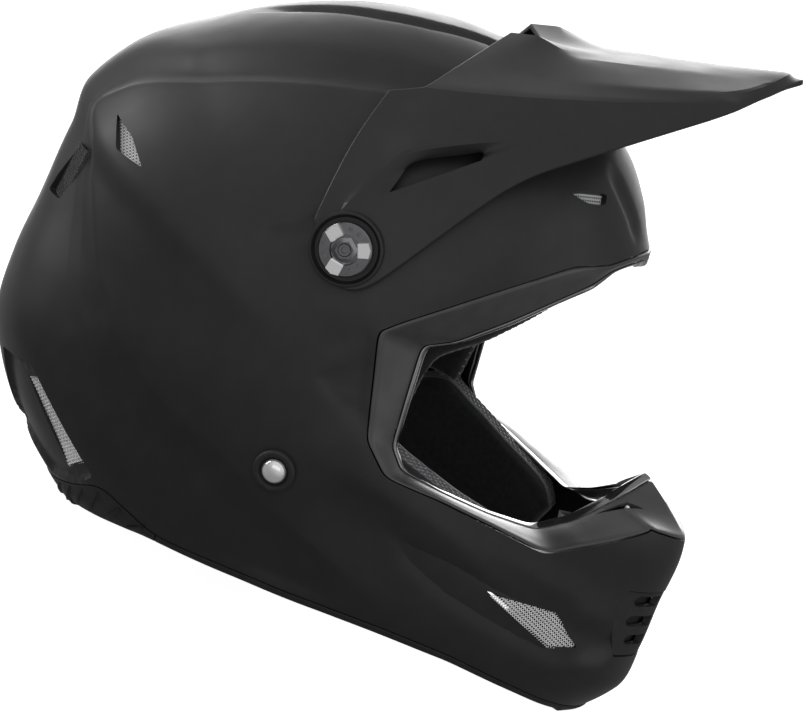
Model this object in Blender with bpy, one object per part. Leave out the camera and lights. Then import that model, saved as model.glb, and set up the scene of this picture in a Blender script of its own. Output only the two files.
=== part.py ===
"""Off-road motorcycle helmet with a peak, modelled as its separate pieces.

Frame: metres, +X to the wearer's front, +Y to the wearer's left, +Z up, standing on its rim at z = 0.
Lengths below are in millimetres and become metres in add_mesh.
"""
import math

import bmesh
import bpy
import numpy as np
from mathutils import Matrix, Vector

MM = 0.001
GAP = 0.4                      # clearance between neighbouring pieces
CENTRING = 3.72                # forward shift that brings the middle of the box to x = 0

# ---- driving dimensions -------------------------------------------------------------------------
EAR = (-8.0, 118.0)            # x, z of the lateral axis that the shell is drawn around
HALF_WIDTH = 122.0
SHELL_WALL = 4.0
HEAD_HALF_WIDTH = 82.0         # room inside the comfort liner
LINER_CLOTH = 9.0
LINER_GAP = 2.8                # room between the faceted linings
# direction from the ear axis in degrees, outline radius, roundness exponent of the cross-section
OUTLINE = [(-36, 199, 1.85), (-30, 201, 1.75), (-24, 193, 1.65), (-17, 184, 1.6), (-10, 179, 1.6),
           (0, 166, 1.6), (15, 150, 1.65), (30, 142, 1.75), (42, 140.5, 1.9), (51, 146, 2.05),
           (60, 151, 2.15), (80, 155, 2.2), (102, 156.5, 2.2), (119, 159.5, 2.2), (137, 166, 2.25),
           (152, 177, 2.4), (159, 178.5, 2.5), (166, 171, 2.5), (178, 167, 2.5), (188, 170, 2.5),
           (198, 173.5, 2.5), (205, 171, 2.5), (220, 163.5, 2.45), (228, 160, 2.4), (245, 157, 2.3),
           (270, 160, 2.3), (290, 170, 2.2), (310, 188, 2.0)]
HEAD_OUTLINE = [(-40, 118, 2.0), (0, 112, 2.0), (42, 104, 2.0), (65, 112, 2.0), (90, 117, 2.1),
                (120, 120, 2.1), (150, 126, 2.1), (180, 126, 2.1), (225, 118, 2.1), (270, 116, 2.0)]
NOSE_ANGLE, BROW_ANGLE = -7.7, 42.3       # where the eyeport edge meets the middle plane
REAR_RIM_ANGLE, CHIN_RIM_ANGLE = 223.5, -34.7
REAR_BASE_ANGLE, CHIN_BASE_ANGLE = 227.4, -36.0
# eyeport, nose to brow: x, z of the shell's edge and x, y, z of the opening's edge beside it
EYEPORT = [((154, 99), (131, 20, 102)), ((135, 88), (119, 43, 90)), ((115, 77), (105, 56, 81.5)),
           ((90, 82), (84, 77, 84)), ((64, 86), (62, 93, 87.5)), ((38, 88), (42, 102, 91)),
           ((24, 101), (34, 104, 100)), ((17, 124), (31, 102.5, 122)), ((10, 148), (28, 100, 146.5)),
           ((18, 156), (41, 95, 154)), ((44, 178.5), (58, 84, 170)), ((73.5, 202.5), (82.5, 55, 195)),
           ((86, 206), (88, 38, 203)), ((94, 211.5), (95, 15, 208))]
NOSE_EDGE, BROW_EDGE = (141.5, 0, 113.5), (97, 0, 209.5)
# lower rim, rear to chin: x, z of the shell's edge and x, z of the base line under it
RIM = [((-112, 7.5), (-105, 0)), ((-97, 14), (-92, 2)), ((-83, 21), (-78, 4.5)), ((-67, 17.5), (-65, 7)),
       ((-51, 13.5), (-51, 9.3)), ((-20, 15.5), (-20, 11.5)), ((4, 17), (4, 13)), ((54, 19), (54, 15)),
       ((85, 18), (85, 14)), ((103, 15.8), (103, 12)), ((125, 11), (125, 7.4)), ((139, 7), (139, 3.3)),
       ((150, 4.6), (149, 0.6))]
NECK_ROLL_END = -49.0          # the ribbed neck roll lies behind this x, the rim trim in front of it
VISOR_AXIS = (-17.0, 176.5)    # x, z of the peak's side screws
VISOR_WALL = 2.6
VISOR_TRAVEL = 8.0             # degrees the peak tips up from its lowest setting
BOSS_INNER, BOSS_FLOOR, BOSS_OUTER = 119.9, 122.6, 124.6
BOSS_RADIUS, RECESS_RADIUS = 17.0, 15.5
SCREW_SHANK = 3.0
FOOT_ANGLE, FOOT_RADIUS, FOOT_WALL = 57.0, 113.0, 2.5
POST_DEPTH = 17.5              # from the foot down to the head of the post under the shell
RIVET = (-7.8, 70.8)           # x, z of the chin strap rivets
STRAP_WIDTH, STRAP_WALL = 24.0, 1.7
# vents as x, z outlines on the left side
CHIN_VENT = [(100, 53), (131.5, 51.5), (138, 46), (146, 38), (135, 34.5)]
BROW_VENT = [(58, 232), (65, 234), (72, 234.5), (73.5, 230), (67, 229.5)]
UPPER_VENT = [(-144, 181), (-136, 168), (-120, 167), (-131, 176)]
REAR_LOWER_VENT = [(-138, 50), (-130, 54), (-96, 27), (-104, 19)]
REAR_EXHAUST = [(-161, 158), (-153, 158), (-158, 131), (-165, 131)]
GRILLE_ROWS = [(69, 32), (60, 37), (48, 33), (36, 27)]     # z and half width, top to bottom
GRILLE_SLOTS = [(64, 5.2, 26), (54, 5.2, 27), (44.5, 5.0, 23)]   # z, height, half width
GRILLE_SPINE = 4.0             # half width of the bar down the grille's middle

COLORS = {
    "matte_shell": ((0.018, 0.018, 0.019), 0.48, 0.0),
    "trim_plastic": ((0.024, 0.024, 0.026), 0.36, 0.0),
    "gloss_lip": ((0.03, 0.03, 0.032), 0.12, 0.0),
    "black_rubber": ((0.012, 0.012, 0.012), 0.62, 0.0),
    "vent_mesh": ((0.62, 0.63, 0.64), 0.35, 0.8),
    "dark_chrome": ((0.22, 0.22, 0.23), 0.18, 1.0),
    "chrome": ((0.75, 0.76, 0.78), 0.1, 1.0),
    "foam_grey": ((0.10, 0.10, 0.105), 0.8, 0.0),
    "foam_white": ((0.74, 0.74, 0.72), 0.75, 0.0),
    "liner_cloth": ((0.015, 0.015, 0.017), 0.9, 0.0),
    "webbing": ((0.014, 0.014, 0.015), 0.85, 0.0),
}


# ---- curves and surfaces ------------------------------------------------------------------------
def periodic(knots, column):
    """Smooth monotone function of an angle in degrees through one column of a table of knots."""
    xs = np.array([k[0] for k in knots] + [knots[0][0] + 360.0])
    ys = np.array([k[column] for k in knots] + [knots[0][column]], float)
    steps = np.diff(xs)
    slopes = np.diff(ys) / steps
    tangents = np.zeros(len(xs))
    for i in range(len(steps)):
        before, after = slopes[i - 1], slopes[i]
        if before * after > 0:
            wide, near = steps[i - 1], steps[i]
            weights = ((2 * near + wide) / before + (near + 2 * wide) / after)
            tangents[i] = 3 * (wide + near) / weights
    tangents[-1] = tangents[0]

    def value(angle):
        angle = (angle - xs[0]) % 360.0 + xs[0]
        i = min(max(int(np.searchsorted(xs, angle, side="right")) - 1, 0), len(steps) - 1)
        t = (angle - xs[i]) / steps[i]
        start = (1 + 2 * t) * (1 - t) ** 2 * ys[i] + t * (1 - t) ** 2 * steps[i] * tangents[i]
        end = t * t * (3 - 2 * t) * ys[i + 1] + t * t * (t - 1) * steps[i] * tangents[i + 1]
        return start + end
    return value


class Dome:
    """Surface drawn around the ear axis: its outline is polar, its cross-sections superellipses."""

    def __init__(self, outline, half_width):
        self.radius = periodic(outline, 1)
        self.exponent = periodic(outline, 2)
        self.half_width = half_width

    def chart(self, x, z):
        """Disc coordinates of the point above x, z: the middle plane is the unit circle."""
        dx, dz = x - EAR[0], z - EAR[1]
        angle = math.degrees(math.atan2(dz, dx))
        part = min(math.hypot(dx, dz) / self.radius(angle), 1.0)
        tilt = math.asin(part ** (self.exponent(angle) / 2)) / (math.pi / 2)
        return np.array([tilt * math.cos(math.radians(angle)), tilt * math.sin(math.radians(angle))])

    def point(self, disc, inset=0.0):
        """Point of disc coordinates, moved inwards along the surface's normal."""
        angle = math.degrees(math.atan2(disc[1], disc[0]))
        tilt = min(math.hypot(disc[0], disc[1]), 1.0) * math.pi / 2
        power = 2 / self.exponent(angle)
        reach = self.radius(angle) * math.sin(tilt) ** power
        y = self.half_width * max(math.cos(tilt), 0.0) ** power
        y = 0.0 if y < 1e-6 else y
        x = EAR[0] + reach * math.cos(math.radians(angle))
        z = EAR[1] + reach * math.sin(math.radians(angle))
        base = np.array([x, y, z])
        return base - inset * self.normal(base) if inset else base

    def level(self, p):
        dx, dz = p[0] - EAR[0], p[2] - EAR[1]
        angle = math.degrees(math.atan2(dz, dx))
        n = self.exponent(angle)
        return (abs(p[1]) / self.half_width) ** n + (math.hypot(dx, dz) / self.radius(angle)) ** n

    def normal(self, p):
        step = 0.5
        slope = np.zeros(3)
        for axis in range(3):
            ahead, behind = np.array(p, float), np.array(p, float)
            ahead[axis] += step
            behind[axis] -= step
            slope[axis] = self.level(ahead) - self.level(behind)
        return slope / np.linalg.norm(slope)

    def at(self, x, z, inset=0.0):
        return self.point(self.chart(x, z), inset)


SHELL = Dome(OUTLINE, HALF_WIDTH)
CORE_INSET = SHELL_WALL + LINER_GAP
CORE = Dome([(a, min(r, 173) - CORE_INSET, n) for a, r, n in OUTLINE], HALF_WIDTH - CORE_INSET)
HEAD = Dome(HEAD_OUTLINE, HEAD_HALF_WIDTH)
LINER = Dome([(a, r + LINER_CLOTH, n) for a, r, n in HEAD_OUTLINE], HEAD_HALF_WIDTH + LINER_CLOTH)
FOAM = Dome([(a, r + LINER_CLOTH + LINER_GAP, n) for a, r, n in HEAD_OUTLINE],
            HEAD_HALF_WIDTH + LINER_CLOTH + LINER_GAP)


def rim_point(angle):
    """Disc coordinates of the outline's point in a direction."""
    return np.array([math.cos(math.radians(angle)), math.sin(math.radians(angle))])


def over_edge(end, neighbour):
    """Neighbour's reflection beyond the disc's edge, so that a curve meets the middle plane squarely."""
    return neighbour - 2 * np.dot(neighbour - end, end) * end


def curve(points, params, ghosts):
    """Catmull-Rom curve through points at params from 0 to len(points) - 1."""
    chain = [ghosts[0]] + list(points) + [ghosts[1]]
    found = []
    for t in params:
        i = min(int(t), len(points) - 2)
        f = t - i
        a, b, c, d = (np.array(chain[i + k], float) for k in range(4))
        found.append(0.5 * (2 * b + (c - a) * f + (2 * a - 5 * b + 4 * c - d) * f * f
                            + (3 * b - a - 3 * c + d) * f ** 3))
    return found


def even_params(points, ghosts, count):
    """Params that space count + 1 points evenly along the curve."""
    fine = np.linspace(0, len(points) - 1, 20 * len(points))
    path = np.array(curve(points, fine, ghosts))
    length = np.concatenate([[0], np.cumsum(np.linalg.norm(np.diff(path, axis=0), axis=1))])
    return list(np.interp(np.linspace(0, length[-1], count + 1), length, fine))


def disc_curve(points, params=None, count=None, ends=(True, True)):
    """Curve in the disc; an end that is True lies on the disc's edge."""
    ghosts = [over_edge(points[0], points[1]) if ends[0] else 2 * points[0] - points[1],
              over_edge(points[-1], points[-2]) if ends[1] else 2 * points[-1] - points[-2]]
    params = even_params(points, ghosts, count) if params is None else params
    return curve(points, params, ghosts), params


def patch(front, rim, crown, end, rows, rounds=600):
    """Grid of the disc between its front and rim curves, from the crown arc to the end curve.

    It starts as a Coons patch. The relaxing rounds then solve for smooth grid lines that never fold.
    """
    u = np.linspace(0, 1, len(front))[:, None, None]
    v = np.linspace(0, 1, rows + 1)[None, :, None]
    front, rim = np.array(front)[:, None], np.array(rim)[:, None]
    crown, end = np.array(crown)[None], np.array(end)[None]
    corners = (1 - v) * ((1 - u) * crown[:, :1] + u * end[:, :1])
    corners = corners + v * ((1 - u) * crown[:, -1:] + u * end[:, -1:])
    grid = (1 - u) * crown + u * end + (1 - v) * front + v * rim - corners
    for _ in range(rounds):
        du = (grid[2:, 1:-1] - grid[:-2, 1:-1]) / 2
        dv = (grid[1:-1, 2:] - grid[1:-1, :-2]) / 2
        alpha = (dv ** 2).sum(2, keepdims=True)
        beta = (du * dv).sum(2, keepdims=True)
        gamma = (du ** 2).sum(2, keepdims=True)
        cross = grid[2:, 2:] - grid[2:, :-2] - grid[:-2, 2:] + grid[:-2, :-2]
        total = alpha * (grid[2:, 1:-1] + grid[:-2, 1:-1]) + gamma * (grid[1:-1, 2:] + grid[1:-1, :-2])
        grid[1:-1, 1:-1] = (total - beta / 2 * cross) / (2 * (alpha + gamma))
    return [list(column) for column in grid]


def arc(start, end, rows):
    return [rim_point(start + (end - start) * j / rows) for j in range(rows + 1)]


# ---- mesh makers --------------------------------------------------------------------------------
def material(name):
    found = bpy.data.materials.get(name)
    if found:
        return found
    color, roughness, metallic = COLORS[name]
    made = bpy.data.materials.new(name)
    made.use_nodes = True
    shader = made.node_tree.nodes["Principled BSDF"]
    shader.inputs["Base Color"].default_value = (*color, 1.0)
    shader.inputs["Roughness"].default_value = roughness
    shader.inputs["Metallic"].default_value = metallic
    made.diffuse_color = (*color, 1.0)
    return made


def add_mesh(name, verts, faces, slot, origin=(0, 0, 0), smooth=True):
    """Object from vertices in millimetres, with its origin at a point in millimetres."""
    mesh = bpy.data.meshes.new(name)
    place = Vector(origin) * MM
    mesh.from_pydata([Vector([float(c) for c in v]) * MM - place for v in verts], [], faces)
    tidy = bmesh.new()
    tidy.from_mesh(mesh)
    bmesh.ops.remove_doubles(tidy, verts=tidy.verts, dist=0.00001)
    bmesh.ops.dissolve_degenerate(tidy, edges=tidy.edges, dist=0.00001)
    bmesh.ops.recalc_face_normals(tidy, faces=tidy.faces)
    tidy.to_mesh(mesh)
    tidy.free()
    made = bpy.data.objects.new(name, mesh)
    made.location = place
    bpy.context.scene.collection.objects.link(made)
    if slot:
        mesh.materials.append(material(slot))
    if smooth:
        mesh.shade_smooth()
        mesh.set_sharp_from_angle(angle=math.radians(35))
    return made


def mirrored(points):
    return [np.array([p[0], -p[1], p[2]]) for p in points]


def loft(sections, closed):
    """Vertices and faces through sections of equal size; open ends are capped."""
    size = len(sections[0])
    verts = [p for section in sections for p in section]
    faces = []
    spans = len(sections) if closed else len(sections) - 1
    for i in range(spans):
        here, there = i * size, (i + 1) % len(sections) * size
        for k in range(size):
            after = (k + 1) % size
            faces.append((here + k, here + after, there + after, there + k))
    if not closed:
        faces.append(tuple(range(size)))
        faces.append(tuple(range((len(sections) - 1) * size, len(sections) * size))[::-1])
    return verts, faces


def slab(outer, inner, closed):
    """Vertices and faces of the wall between two grids; closed joins the last column to the first."""
    columns, rows = len(outer), len(outer[0])
    verts = [p for column in outer for p in column] + [p for column in inner for p in column]
    back = columns * rows
    faces = []
    spans = columns if closed else columns - 1
    for i in range(spans):
        a, b = i * rows, (i + 1) % columns * rows
        for j in range(rows - 1):
            faces.append((a + j, a + j + 1, b + j + 1, b + j))
            faces.append((back + a + j, back + b + j, back + b + j + 1, back + a + j + 1))
        for j in (0, rows - 1):
            faces.append((a + j, b + j, back + b + j, back + a + j))
    if not closed:
        for a in (0, (columns - 1) * rows):
            for j in range(rows - 1):
                faces.append((a + j, a + j + 1, back + a + j + 1, back + a + j))
    return verts, faces


def both_sides(grid, closed):
    """Grid of left-side columns from the middle plane, carried on over the right side."""
    right = [mirrored(column) for column in grid]
    if closed:
        return grid + right[-2:0:-1]
    return right[:0:-1] + grid


def turned(profile, origin, axis, segments=32):
    """Vertices and faces of a closed profile of (radius, height) turned about an axis."""
    frame = Vector(axis).normalized().to_track_quat("Z", "Y").to_matrix()
    spin = np.array(frame)
    verts = []
    for k in range(segments):
        angle = 2 * math.pi * k / segments
        for radius, height in profile:
            local = np.array([radius * math.cos(angle), radius * math.sin(angle), height])
            verts.append(np.array(origin, float) + spin @ local)
    size = len(profile)
    faces = []
    for k in range(segments):
        here, there = k * size, (k + 1) % segments * size
        for i in range(size):
            after = (i + 1) % size
            if profile[i][0] == 0 and profile[after][0] == 0:
                continue
            faces.append((here + i, here + after, there + after, there + i))
    return verts, faces


def prism(outline, push, pull, direction):
    """Vertices and faces of an outline of 3-D points, thickened outwards and inwards along a direction."""
    outer = [np.array(p) + push * direction for p in outline]
    inner = [np.array(p) - pull * direction for p in outline]
    return loft([outer, inner], False)


def join(*shapes):
    verts, faces = [], []
    for part_verts, part_faces in shapes:
        start = len(verts)
        verts += list(part_verts)
        faces += [tuple(start + i for i in face) for face in part_faces]
    return verts, faces


def cutter(name, shape):
    made = add_mesh(name, *shape, None, smooth=False)
    made.hide_render = True
    made.display_type = "WIRE"
    return made


def combine(target, tool, operation):
    modifier = target.modifiers.new(tool.name, "BOOLEAN")
    modifier.operation = operation
    modifier.solver = "EXACT"
    modifier.object = tool


def shrink(outline, inset):
    """Outline with every edge moved inwards by inset."""
    area = sum(a[0] * b[1] - b[0] * a[1] for a, b in zip(outline, outline[1:] + outline[:1]))
    turn = 1 if area > 0 else -1
    lines = []
    for a, b in zip(outline, outline[1:] + outline[:1]):
        along = np.array([b[0] - a[0], b[1] - a[1]], float)
        along /= np.linalg.norm(along)
        inward = turn * np.array([-along[1], along[0]])
        lines.append((np.array(a, float) + inset * inward, along))
    corners = []
    for (p, d), (q, e) in zip(lines[-1:] + lines[:-1], lines):
        t = np.linalg.solve(np.array([d, -e]).T, q - p)[0]
        corners.append(tuple(p + t * d))
    return corners


def on_side(points, side):
    return [np.array([p[0], side * p[1], p[2]]) for p in points]


def vent_frame(outline):
    """Surface points of a vent's outline and their mean outward direction."""
    points = [SHELL.at(x, z) for x, z in outline]
    mean = sum(SHELL.normal(p) for p in points)
    return points, mean / np.linalg.norm(mean)


def vent_prism(outline, side, push, pull, inset=0.0):
    direction = vent_frame(outline)[1]
    points = vent_frame(shrink(outline, inset) if inset else outline)[0]
    facing = np.array([direction[0], side * direction[1], direction[2]])
    return prism(on_side(points, side), push, pull, facing)


# ---- shell and what is fixed to its edges -------------------------------------------------------
def eyeport_curves(steps=2):
    """The shell's eyeport edge in the disc and the opening's edge in space, nose to brow."""
    count = len(EYEPORT) + 1
    params = [k / steps for k in range(count * steps + 1)]
    edge = [rim_point(NOSE_ANGLE)] + [SHELL.chart(*s[0]) for s in EYEPORT] + [rim_point(BROW_ANGLE)]
    lip = [np.array(NOSE_EDGE, float)] + [np.array(s[1], float) for s in EYEPORT]
    lip.append(np.array(BROW_EDGE, float))
    ghosts = (lip[1] * (1, -1, 1), lip[-2] * (1, -1, 1))
    return disc_curve(edge, params)[0], curve(lip, params, ghosts)


def rim_curves(count):
    """The shell's lower edge and the base line under it, both in the disc, rear to chin."""
    edge = [rim_point(REAR_RIM_ANGLE)] + [SHELL.chart(*s[0]) for s in RIM] + [rim_point(CHIN_RIM_ANGLE)]
    base = [rim_point(REAR_BASE_ANGLE)] + [SHELL.chart(*s[1]) for s in RIM] + [rim_point(CHIN_BASE_ANGLE)]
    upper, params = disc_curve(edge, count=count)
    return upper, disc_curve(base, params)[0]


def make_shell():
    front = eyeport_curves()[0][::-1]
    rim = rim_curves(len(front) - 1)[0]
    rows = 17
    crown = arc(BROW_ANGLE, REAR_RIM_ANGLE, rows)
    chin = arc(NOSE_ANGLE, CHIN_RIM_ANGLE, rows)
    grid = patch(front, rim, crown, chin, rows)
    outer = both_sides([[SHELL.point(q) for q in column] for column in grid], True)
    inner = both_sides([[SHELL.point(q, SHELL_WALL) for q in column] for column in grid], True)
    shell = add_mesh("outer_shell", *slab(outer, inner, True), "matte_shell")
    holes = []
    for side in (-1, 1):
        for outline in (CHIN_VENT, BROW_VENT, UPPER_VENT, REAR_LOWER_VENT, REAR_EXHAUST):
            holes.append(vent_prism(outline, side, 12, 12))
        bore = [(0, 100), (SCREW_SHANK + GAP, 100), (SCREW_SHANK + GAP, 130), (0, 130)]
        holes.append(turned(bore, (VISOR_AXIS[0], 0, VISOR_AXIS[1]), (0, side, 0), 16))
        place, facing = rivet_frame(side)
        holes.append(turned([(0, -8), (2.6, -8), (2.6, 6), (0, 6)], place, facing, 16))
    outline = [np.array([138.0, y, z]) for z, y in GRILLE_ROWS]
    outline += [p * (1, -1, 1) for p in outline[::-1]]
    holes.append(prism(outline, 50, 0, np.array([1.0, 0, 0])))
    start, facing = foot_frame()
    low, high = FOOT_RADIUS - POST_DEPTH - 1.5, FOOT_RADIUS - 3.0
    holes.append(turned([(0, low), (5.4, low), (5.4, high), (0, high)], start, facing, 20))
    combine(shell, cutter("shell_openings", join(*holes)), "DIFFERENCE")


def ring_around(sections_left):
    """Closed ring of sections from left-side sections that run from middle plane to middle plane."""
    right = [mirrored(section) for section in sections_left[-2:0:-1]]
    return loft(sections_left + right, True)


def make_eyeport_trim():
    edge, lip = eyeport_curves()
    sections, beads = [], []
    for q, end in zip(edge, lip):
        start = SHELL.point(q)
        inward = -SHELL.normal(start)
        inward[1] = 0.0 if start[1] == 0 else inward[1]
        run = (end - start) / np.linalg.norm(end - start)
        aside = run - np.dot(run, inward) * inward
        root = start + 2 * GAP * aside / np.linalg.norm(aside)
        sections.append([root, end, end + 3.0 * inward, root + 3.4 * inward])
        centre = end + 1.5 * inward + 2.2 * run
        bead = [centre + 1.7 * (math.cos(a) * run + math.sin(a) * inward)
                for a in (k * math.pi / 3 for k in range(6))]
        beads.append(bead)
    add_mesh("eyeport_trim", *ring_around(sections), "trim_plastic")
    add_mesh("eyeport_lip", *ring_around(beads), "gloss_lip")


def flat_bottom(p):
    """The base line's lowest stretches lie in the plane z = 0."""
    return np.array([p[0], p[1], 0.0]) if p[2] < 1.2 else p


def make_rim_trims():
    upper, lower = rim_curves(36)
    neck, band = [], []
    for q, b in zip(upper, lower):
        top, bottom = SHELL.point(q), flat_bottom(SHELL.point(b))
        drop = (bottom - top) / np.linalg.norm(bottom - top)
        for wall, proud, pieces in ((7.0, 0.8, neck), (5.5, 0.6, band)):
            inward = -SHELL.normal(top)
            inward[1] = 0.0 if top[1] == 0 else inward[1]
            level = np.array([inward[0], inward[1], 0.0])
            level /= np.linalg.norm(level)
            root = top + 0.9 * drop
            pieces.append([root - proud * level, bottom, bottom + wall * level, root + wall * level])
    ends = [i for i, b in enumerate(lower) if SHELL.point(b)[0] > NECK_ROLL_END]
    split = ends[0]
    neck_left = neck[:split]
    sections = [mirrored(s) for s in neck_left[:0:-1]] + neck_left
    add_mesh("neck_roll", *loft(sections, False), "black_rubber")
    start = [p + 0.06 * (q - p) for p, q in zip(band[split - 1], band[split])]
    band_left = [start] + band[split:]
    sections = band_left + [mirrored(s) for s in band_left[-2::-1]]
    add_mesh("base_trim", *loft(sections, False), "black_rubber")


def make_vent_meshes():
    vents = {"chin_vent_mesh": CHIN_VENT, "brow_vent_mesh": BROW_VENT, "upper_vent_mesh": UPPER_VENT,
             "rear_lower_vent_mesh": REAR_LOWER_VENT, "rear_exhaust_mesh": REAR_EXHAUST}
    for name, outline in vents.items():
        for side, word in ((1, "left"), (-1, "right")):
            shape = vent_prism(outline, side, -1.8, 2.6, inset=0.5)
            add_mesh(f"{name}_{word}", *shape, "vent_mesh", smooth=False)


def front_x(y, z):
    """Forward reach of the shell at a height and a distance from the middle plane."""
    low, high = 60.0, 200.0
    for _ in range(40):
        middle = (low + high) / 2
        if SHELL.level((middle, y, z)) < 1:
            low = middle
        else:
            high = middle
    return low


def make_chin_grille():
    front, back = [], []
    columns = 8
    rows = [(z - (0.5 if z > 60 else 0) + (0.5 if z < 40 else 0), half - 0.6) for z, half in GRILLE_ROWS]
    for k in range(-columns // 2, columns // 2 + 1):
        share = 2 * k / columns
        reach = [front_x(abs(half * share), z) for z, half in rows]
        front.append([np.array([x - 0.3, half * share, z]) for x, (z, half) in zip(reach, rows)])
        back.append([np.array([x - 3.6, half * share, z]) for x, (z, half) in zip(reach, rows)])
    grille = add_mesh("chin_grille", *slab(front, back, False), "trim_plastic")
    slots = []
    for z, height, half in GRILLE_SLOTS:
        corners = [(GRILLE_SPINE, z + height / 2), (half - 3, z + height / 2), (half, z),
                   (half - 3, z - height / 2), (GRILLE_SPINE, z - height / 2)]
        for side in (1, -1):
            ring = [np.array([130.0, side * y, h]) for y, h in corners]
            slots.append(prism(ring, 60, 0, np.array([1.0, 0, 0])))
    combine(grille, cutter("grille_slots", join(*slots)), "DIFFERENCE")


# ---- linings ------------------------------------------------------------------------------------
def cap_grid(chart_of, front, rim, angles, columns, rows):
    """Left half of a lining: disc coordinates between its front and lower edges, crown to side."""
    top = [rim_point(angles[0])] + [chart_of.chart(x, z) for x, z in front]
    low = [rim_point(angles[1])] + [chart_of.chart(x, z) for x, z in rim]
    top_curve = disc_curve(top, count=columns, ends=(True, False))[0]
    low_curve = disc_curve(low, count=columns, ends=(True, False))[0]
    end = [top[-1] + (low[-1] - top[-1]) * j / rows for j in range(rows + 1)]
    return patch(top_curve, low_curve, arc(*angles, rows), end, rows)


def make_impact_liner():
    front = [(85, 212), (66, 202.5), (39, 182), (13, 161), (2, 150)]
    rim = [(-112, 26), (-80, 42), (-44, 74), (-4, 92)]
    grid = cap_grid(CORE, front, rim, (BROW_ANGLE + 3, REAR_RIM_ANGLE - 6), 13, 11)
    outer = both_sides([[CORE.point(q) for q in column] for column in grid], False)
    inner = both_sides([[FOAM.point(q) for q in column] for column in grid], False)
    liner = add_mesh("impact_liner", *slab(outer, inner, False), "foam_grey")
    pockets = []
    for side in (-1, 1):
        well = [(0, 100), (8.0, 100), (8.0, 125), (0, 125)]
        pockets.append(turned(well, (VISOR_AXIS[0], 0, VISOR_AXIS[1]), (0, side, 0), 16))
    start, facing = foot_frame()
    floor = FOOT_RADIUS - POST_DEPTH - 6.5
    pockets.append(turned([(0, floor), (9.0, floor), (9.0, 120), (0, 120)], start, facing, 16))
    combine(liner, cutter("liner_pockets", join(*pockets)), "DIFFERENCE")


def make_comfort_liner():
    front = [(66, 185), (45, 160), (31, 146), (27, 134)]
    rim = [(-84, 46), (-44, 76), (-6, 97), (14, 101), (29, 101)]
    grid = cap_grid(LINER, front, rim, (BROW_ANGLE - 1, REAR_RIM_ANGLE - 3), 13, 11)
    outer = both_sides([[LINER.point(q) for q in column] for column in grid], False)
    inner = both_sides([[HEAD.point(q) for q in column] for column in grid], False)
    add_mesh("comfort_liner", *slab(outer, inner, False), "liner_cloth")


def side_patch(top, bottom, columns, rows, depth):
    """Grid of left-side points between two x, z lines, at a depth under the shell's surface."""
    grid = []
    for i in range(columns + 1):
        column = []
        for j in range(rows + 1):
            ends = []
            for line in (top, bottom):
                t = i / columns * (len(line) - 1)
                k = min(int(t), len(line) - 2)
                ends.append(np.array(line[k]) + (t - k) * (np.array(line[k + 1]) - np.array(line[k])))
            x, z = ends[0] + (ends[1] - ends[0]) * j / rows
            place = SHELL.at(x, z)
            column.append(np.array([x, place[1] - depth, z]))
        grid.append(column)
    return grid


PAD_TOP = [(-48, 60), (-34, 68), (-14, 81), (8, 89), (22, 93), (37, 82), (62, 78), (84, 75), (93, 71)]
PAD_BOTTOM = [(-50, 28), (-36, 22), (-16, 20), (4, 20), (24, 21), (42, 23), (60, 27), (74, 34), (85, 46)]


def make_cheek_pads():
    outer = side_patch(PAD_TOP, PAD_BOTTOM, 8, 4, 14.0)
    inner = side_patch(PAD_TOP, PAD_BOTTOM, 8, 4, 40.0)
    for side, word in ((1, "left"), (-1, "right")):
        shape = slab([on_side(c, side) for c in outer], [on_side(c, side) for c in inner], False)
        add_mesh(f"cheek_pad_{word}", *shape, "liner_cloth")


def make_chin_foam():
    top = [SHELL.chart(112, 70), SHELL.chart(126, 72), SHELL.chart(143, 80), rim_point(-12)]
    low = [SHELL.chart(112, 23), SHELL.chart(126, 19), SHELL.chart(143, 15), rim_point(-30.5)]
    rows = 4
    upper = disc_curve(top, count=8, ends=(False, True))[0]
    lower = disc_curve(low, count=8, ends=(False, True))[0]
    grid = [[a + (b - a) * j / rows for j in range(rows + 1)] for a, b in zip(upper, lower)]
    grid = grid[::-1]
    outer = both_sides([[SHELL.point(q, 5.2) for q in column] for column in grid], False)
    inner = both_sides([[SHELL.point(q, 15.0) for q in column] for column in grid], False)
    add_mesh("chin_foam", *slab(outer, inner, False), "foam_white")


# ---- peak and its fixings -----------------------------------------------------------------------
CAGE = {
    "rear_middle": (16, 0, 279), "mid_rear": (30, 0, 282.5), "mid_front": (52, 0, 291),
    "tip_top": (124, 0, 316.5), "tip_low": (130, 0, 314.6), "front_low": (121.5, 24, 305.5),
    "top_0": (0, 29, 282), "top_1": (13, 31, 286.2), "top_2": (33.5, 34, 284.6), "top_3": (118, 20, 309.5),
    "ridge_0": (-12, 64, 262.5), "ridge_1": (5, 62, 268), "ridge_2": (45, 58, 279),
    "ridge_3": (109, 48, 301),
    "side_0": (-19, 82, 251), "side_1": (14.5, 84, 261.6), "side_2": (63, 68, 279), "side_3": (109, 49, 298),
    "rear_2": (-33, 85, 243.5), "rear_1": (-37, 106, 219), "rear_0": (-36, 122, 182),
    "arm_0": (-22, 124, 161.5), "arm_1": (-10, 124, 158.5), "arm_2": (-1, 123, 164), "arm_3": (8, 119, 179.5),
    "arm_4": (23, 108, 206.5), "arm_5": (36, 99, 228.6), "arm_6": (46.5, 91, 239.4),
    "low_1": (76.5, 74, 265.6), "low_0": (111, 50, 294),
    "scoop_0": (-27, 121, 191), "scoop_1": (-13, 107, 225), "scoop_2": (15, 97, 241),
    "scoop_3": (43.5, 86, 255.6),
    "hole_0": (-10.5, 113.5, 206.5), "hole_1": (-8, 103, 221), "hole_2": (18.5, 93, 236.5),
    "hole_3": (19.5, 99, 234), "boss": (-10, 121.5, 183),
}
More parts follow.
